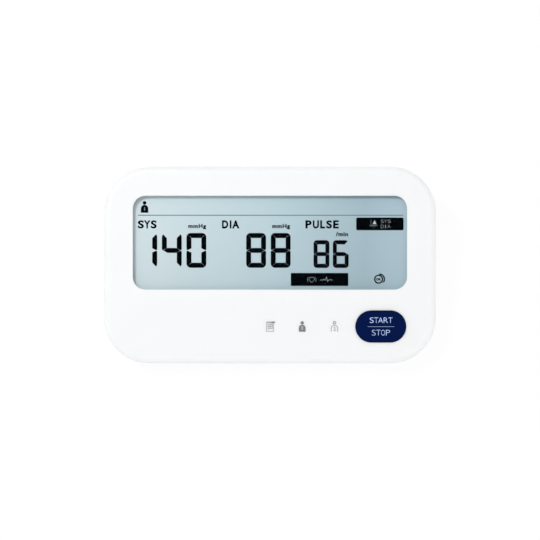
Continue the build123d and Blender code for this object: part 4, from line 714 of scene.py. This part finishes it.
# The upper bar says that the shown value is high: a triangle on a line, and the words it is for.
bar = plate(25.7, 6.9)
round_corners(0.8)
crystal(joined([bar]), "level_bar", 59.7, 22.3)
mark = disc(1.2, sides=3)
bpy.ops.transform.resize(value=(1, 1.15, 1))
clear_sign(joined([mark]), "level_triangle", 56.8, 22.95, crystal_clear)
line = 0.28
lines = [plate(4.4, line, 56.2, 21.45)]
lines += [plate(0.45, line, 54.9, 22.1 + 0.75 * step) for step in range(4)]
lines += [plate(0.45, line, 55.3 + 0.9 * step, 20.75) for step in range(3)]
clear_sign(joined(lines), "level_lines", 0, 0, crystal_half)
for text, edges, name, v in (
    ("SYS", (-2.55, -0.95, -0.6, 0.75, 1.2, 2.85), "level_word_upper", 23.75),
    ("DIA", (-2.5, -0.85, -0.15, 0.25, 1.0, 2.8), "level_word_lower", 20.95),
):
    clear_sign(lettering(text, edges, 1.85, -0.016), name, 62.75, v, crystal_dim)


def heart(lobe, apart, up, square):
    """A heart: two discs over a square that stands on its corner."""
    lobes = [disc(lobe, side * apart, up, 20) for side in (-1, 1)]
    return joined(lobes + [plate(square, square, 0, -0.12, 45)])


# The lower bar says that the heartbeat was uneven: a heart between two waves, and a trace.
heart_x, heart_v = 22.7, -7.9
bar = plate(31.2, 7.05)
round_corners(0.35)
crystal(joined([bar]), "beat_bar", 26.95, -7.85)
clear_sign(heart(0.88, 0.75, 0.45, 2.2), "beat_heart", heart_x, heart_v, crystal_dim)
crystal(heart(0.7, 0.74, 0.44, 1.88), "beat_heart_middle", heart_x, heart_v,
        depth=film_depth - sign_height - clear_height, height=middle_height)
waves = []
for side in (-1, 1):
    wave = disc(2.45, sides=48)
    outline(0.24)
    cut(side * 1.95, 0, -side, 0)
    waves.append(wave)
clear_sign(joined(waves), "beat_waves", heart_x, heart_v, crystal_half)


def stroke(points, width):
    """A bent line of this width through these points."""
    runs = []
    for (x1, y1), (x2, y2) in zip(points, points[1:]):
        turn = degrees(atan2(y2 - y1, x2 - x1))
        length = hypot(x2 - x1, y2 - y1) + width * 0.8
        runs.append(plate(length, width, (x1 + x2) / 2, (y1 + y2) / 2, turn))
    return joined(runs)


beat = [(-3.2, -0.4), (-1.9, -0.4), (-1.4, 0.2), (-0.9, -0.4), (-0.4, -0.4), (0.1, 1.3),
        (0.7, -1.3), (1.1, -0.4), (1.9, -0.4), (2.3, 0.0), (2.7, -0.4), (3.4, -0.4)]
clear_sign(stroke(beat, 0.25), "beat_trace", 30.6, -7.75, crystal_dim)

# The cuff sign: a ring with a second turn round its right side, and OK in it.
line = 0.74
ring = disc(2.5, -0.4, 0, 48)
outline(line)
turn = disc(3.15, sides=48)
outline(line)
cut(0.3, 0, -1, -0.1)
cut(0, -2.2, 0.2, -1)
crystal(joined([ring, turn]), "cuff_sign", 59.4, -7.7)
crystal(words("OK", 3.0, 1.4, 0.07), "cuff_sign_word", 59.0, -7.75)

# ---------------------------------------------------------------------------------------------
# Display window
# A clear pane of cast acrylic with an anti-glare coat lies behind the opening, held by a frame
# of white foam tape. A foam seal keeps dust off the display.
# ---------------------------------------------------------------------------------------------

# The coat takes away nearly all reflections, which an IOR close to that of air stands for. The
# pane lets the light of lamps through.
pane = bpy.data.materials.new("coated_cast_acrylic")
pane.use_nodes = True
tree = pane.node_tree
shader = tree.nodes["Principled BSDF"]
shader.inputs["Base Color"].default_value = linear("#FEFFFF")
shader.inputs["Roughness"].default_value = 0.0
shader.inputs["IOR"].default_value = 1.06
shader.inputs["Transmission Weight"].default_value = 1.0
path = add_node(tree, "LightPath").outputs
lamp_light = largest(tree, path["Is Shadow Ray"], path["Is Diffuse Ray"])
open_pane = add_node(tree, "BsdfTransparent", {"Color": linear("#FEFFFF")})
both = add_node(
    tree, "MixShader", feeds={0: lamp_light, 1: shader.outputs[0], 2: open_pane.outputs[0]}
)
tree.links.new(both.outputs[0], tree.nodes["Material Output"].inputs[0])
finish(pane, "clear_acrylic", "display_window")
# Foam tape is off-white and matt. Closed-cell foam is duller, and its cells show.
white_tape = moulded("white_acrylic_foam_tape", "#DADCDD", 0.3, 0.01, 0.62, drift=0.03)
finish(white_tape, "adhesive", "window_tape")
white_foam = moulded(
    "white_closed_cell_foam", "#D6D9DA", 0.35, 0.06, 0.85, gloss=0.2, drift=0.04
)
finish(white_foam, "foam_rubber", "window_seal")

# ---------------------------------------------------------------------------------------------
# Front cover
# The same white ABS. Three signs are pad-printed in grey on the face, a memory sheet and two
# users, and each is touched like a key.
# ---------------------------------------------------------------------------------------------

finish(white_abs, "white_plastic", "front_cover")
# Pad-printed ink: thin, matt, and slightly uneven in its cover. What is printed over a first
# print lies higher.
ink_height, second_ink_height = 0.012, 0.02
grey_ink = moulded("mid_grey_pad_ink", "#AEB1B3", 0.2, 0.001, 0.5, gloss=0.3, drift=0.06)
dark_ink = moulded("dark_grey_pad_ink", "#787C80", 0.2, 0.001, 0.5, gloss=0.3, drift=0.06)
pale_ink = moulded("pale_grey_pad_ink", "#AEB1B3", 0.2, 0.001, 0.5, gloss=0.3, drift=0.04)


def print_on_face(shape, name, x, v, material, height=ink_height):
    """Prints a flat drawing on the face."""
    lay(shape, name, on_face(x, v), height, material, "housing")


sign_v, line = -33.3, 0.36
sheet = plate(4.2, 4.9, -0.3, -0.35)
outline(line)
top_bar = plate(4.4, 0.5, -0.2, 2.35)
flap = plate(1.9, 1.0, 1.55, 2.25)
rows = [plate(2.7, line, -0.2, 1.05 - 1.1 * step) for step in range(3)]
columns = [plate(line, 2.5, -1.35 + 1.15 * step, -0.05) for step in range(3)]
print_on_face(
    joined([sheet, top_bar, flap] + rows + columns), "sign_memory", 0.35, sign_v, grey_ink
)

first_user_x = 17.5
body, head = person(5.7, 3.75, 0.9)
print_on_face(joined([body, head]), "sign_first_user", first_user_x, sign_v, dark_ink)
print_on_face(words("1", 1.0, 2.1, 0.05), "sign_first_user_number", first_user_x, -34.1,
              pale_ink, second_ink_height)

# The second user is drawn in line, first the head and then the body, whose foot is left open.
head_line, body_line = 0.7, 0.45
body, head = person(6.3, 4.0, 0.98)
outline(head_line)
deselect()
bpy.context.view_layer.objects.active = body
bpy.ops.object.mode_set(mode="EDIT")
outline(body_line)
cut(0, -2.65, 0, -1)
print_on_face(joined([body, head]), "sign_second_user", 34.95, -33.45, pale_ink)
print_on_face(words("2", 1.3, 2.2, 0.03), "sign_second_user_number", 35.05, -34.65, pale_ink)

# ---------------------------------------------------------------------------------------------
# Start/stop key
# A stadium-shaped cap of dark blue ABS over a tact switch. Its words and the line between them
# are pad-printed in white.
# ---------------------------------------------------------------------------------------------

# How far the cap stands above the face, and where its words are.
key_proud, key_words_x = 0.8, 60.2
# Navy ABS, satin, with little gloss.
navy_abs = moulded("satin_navy_abs", "#021545", 0.3, 0.003, 0.45, gloss=0.02, drift=0.05)
finish(navy_abs, "navy_plastic", "start_stop_key")
finish(grey_acetal, "grey_plastic", "switch_plunger")
# White ink is thin over the navy, and takes a blue cast from it.
white_ink = moulded("white_pad_ink", "#C2DAFF", 0.2, 0.001, 0.5, gloss=0.2, drift=0.04)


def print_on_key(shape, name, x, v):
    """Prints a flat drawing on the key's cap."""
    place = on_face(x, v, -key_proud)
    lay(shape, name, place, ink_height, white_ink, "key")


start_edges = (-6.1, -3.9, -3.6, -1.45, -1.45, 1.1, 1.45, 3.8, 4.1, 6.2)
stop_edges = (-4.95, -2.9, -2.5, -0.3, 0.05, 2.15, 2.65, 4.9)
print_on_key(lettering("START", start_edges, 3.0, -0.006), "key_word_start", 60.15, -29.9)
print_on_key(lettering("STOP", stop_edges, 3.05, -0.015), "key_word_stop", key_words_x, -36.65)
print_on_key(joined([plate(14.4, 0.13)]), "key_line", key_words_x, -33.4)

# ---------------------------------------------------------------------------------------------
# Cells
# Four AA cells lie side by side, every second one turned round. Each is a steel can in printed
# shrink film, with a plus near its stud and a minus at its flat end.
# ---------------------------------------------------------------------------------------------

cell_places = (-23.1, -7.7, 7.7, 23.1)
stud_sides = (-1, 1, -1, 1)
cell_radius, cell_half_length = 7.25, 25.4
cell_middle_y, cell_middle_z = 15.85, 11.55
# Where the film, the pale line, the copper band and the bare stud end start, as shares of the
# cell's length from its flat end.
film_start, line_start, band_start, stud_start = 0.012, 0.745, 0.757, 0.985


def shrink_film(name, stud_side):
    """Glossy printed film: slate blue with a copper-coloured band at the stud end. The film
    is rolled in over the rims, and what it leaves bare is the steel can."""
    made = bpy.data.materials.new(name)
    made.use_nodes = True
    tree = made.node_tree
    shader = tree.nodes["Principled BSDF"]
    place = add_node(tree, "TexCoord").outputs["Object"]
    middle = add_node(
        tree, "Mapping", {"Location": (0, -cell_middle_y * MM, 0)}, {"Vector": place}
    )
    along = add_node(tree, "SeparateXYZ", feeds={0: middle.outputs[0]}).outputs["Y"]
    reach = cell_half_length * stud_side * MM
    share = add_node(
        tree, "MapRange", {"From Min": -reach, "From Max": reach}, {"Value": along}
    ).outputs[0]
    bands = add_node(tree, "ValToRGB", feeds={0: share}).color_ramp
    bands.interpolation = "CONSTANT"
    bands.elements[0].color = linear("#B9BDC1")
    bands.elements[1].position = stud_start
    bands.elements[1].color = linear("#C3C6C9")
    bands.elements.new(film_start).color = linear("#2B3846")
    bands.elements.new(line_start).color = linear("#D9DDE0")
    bands.elements.new(band_start).color = linear("#B8743A")
    tree.links.new(tree.nodes["Color Ramp"].outputs[0], shader.inputs["Base Color"])
    bare = add_node(tree, "ValToRGB", feeds={0: share}).color_ramp
    bare.interpolation = "CONSTANT"
    bare.elements[0].color = (1, 1, 1, 1)
    bare.elements[1].position = stud_start
    bare.elements[1].color = (1, 1, 1, 1)
    bare.elements.new(film_start).color = (0, 0, 0, 1)
    tree.links.new(tree.nodes["Color Ramp.001"].outputs[0], shader.inputs["Metallic"])
    creases = add_node(
        tree, "TexNoise", {"Scale": 1 / (3 * MM), "Detail": 3.0}, {"Vector": middle.outputs[0]}
    )
    sheen = add_node(
        tree, "MapRange", {"From Min": 0.3, "From Max": 0.7, "To Min": 0.2, "To Max": 0.32},
        {"Value": creases.outputs[0]},
    )
    tree.links.new(sheen.outputs[0], shader.inputs["Roughness"])
    relief = add_node(
        tree, "Bump", {"Strength": 0.3, "Distance": 0.03 * MM}, {"Height": creases.outputs[0]}
    )
    tree.links.new(relief.outputs[0], shader.inputs["Normal"])
    return made


# Pale ink under the film's gloss. The signs are printed on the side that shows when the cover
# is open, and bend with the film.
film_ink = moulded("pale_film_ink", "#DDE0E2", 0.2, 0.001, 0.35, drift=0.03)
sign_along, bar_length, bar_width = 19.0, 3.6, 0.8
for number, (x, stud_side) in enumerate(zip(cell_places, stud_sides), 1):
    cell = f"battery_cell_{number}"
    finish(shrink_film(f"shrink_film_cell_{number}", stud_side), "cell_jacket", cell)
    for sign, turns, along in (("plus", (0, 90), sign_along), ("minus", (0,), -sign_along)):
        bars = []
        for turn in turns:
            bars.append(plate(bar_length, bar_width, turn=turn))
            bpy.ops.mesh.subdivide(number_cuts=7)
        drawn = joined(bars)
        for vert in drawn.data.vertices:
            vert.co.z = (cell_radius ** 2 - (vert.co.x / MM) ** 2) ** 0.5 * MM
        place = Vector((x, cell_middle_y + along * stud_side, cell_middle_z)) * MM
        face_down = Matrix.Translation(place) @ Matrix.Rotation(pi, 4, "Y")
        lay(drawn, f"{cell}_{sign}", face_down, ink_height, film_ink, "housing")

# ---------------------------------------------------------------------------------------------
# Battery cover, feet and case screws
# The cover is white ABS and swings down on two tongues. Rubber discs stand the console on the
# table, and zinc-plated screws sit deep in their wells.
# ---------------------------------------------------------------------------------------------

finish(white_abs, "white_plastic", "battery_cover")
# Moulded rubber: charcoal and dull, with a coarse skin.
black_rubber = moulded("moulded_black_rubber", "#26272A", 0.5, 0.015, 0.78, drift=0.1)
finish(black_rubber, "black_rubber", "rubber_feet")
finish(zinc_plate, "plated_steel", "case_screws")
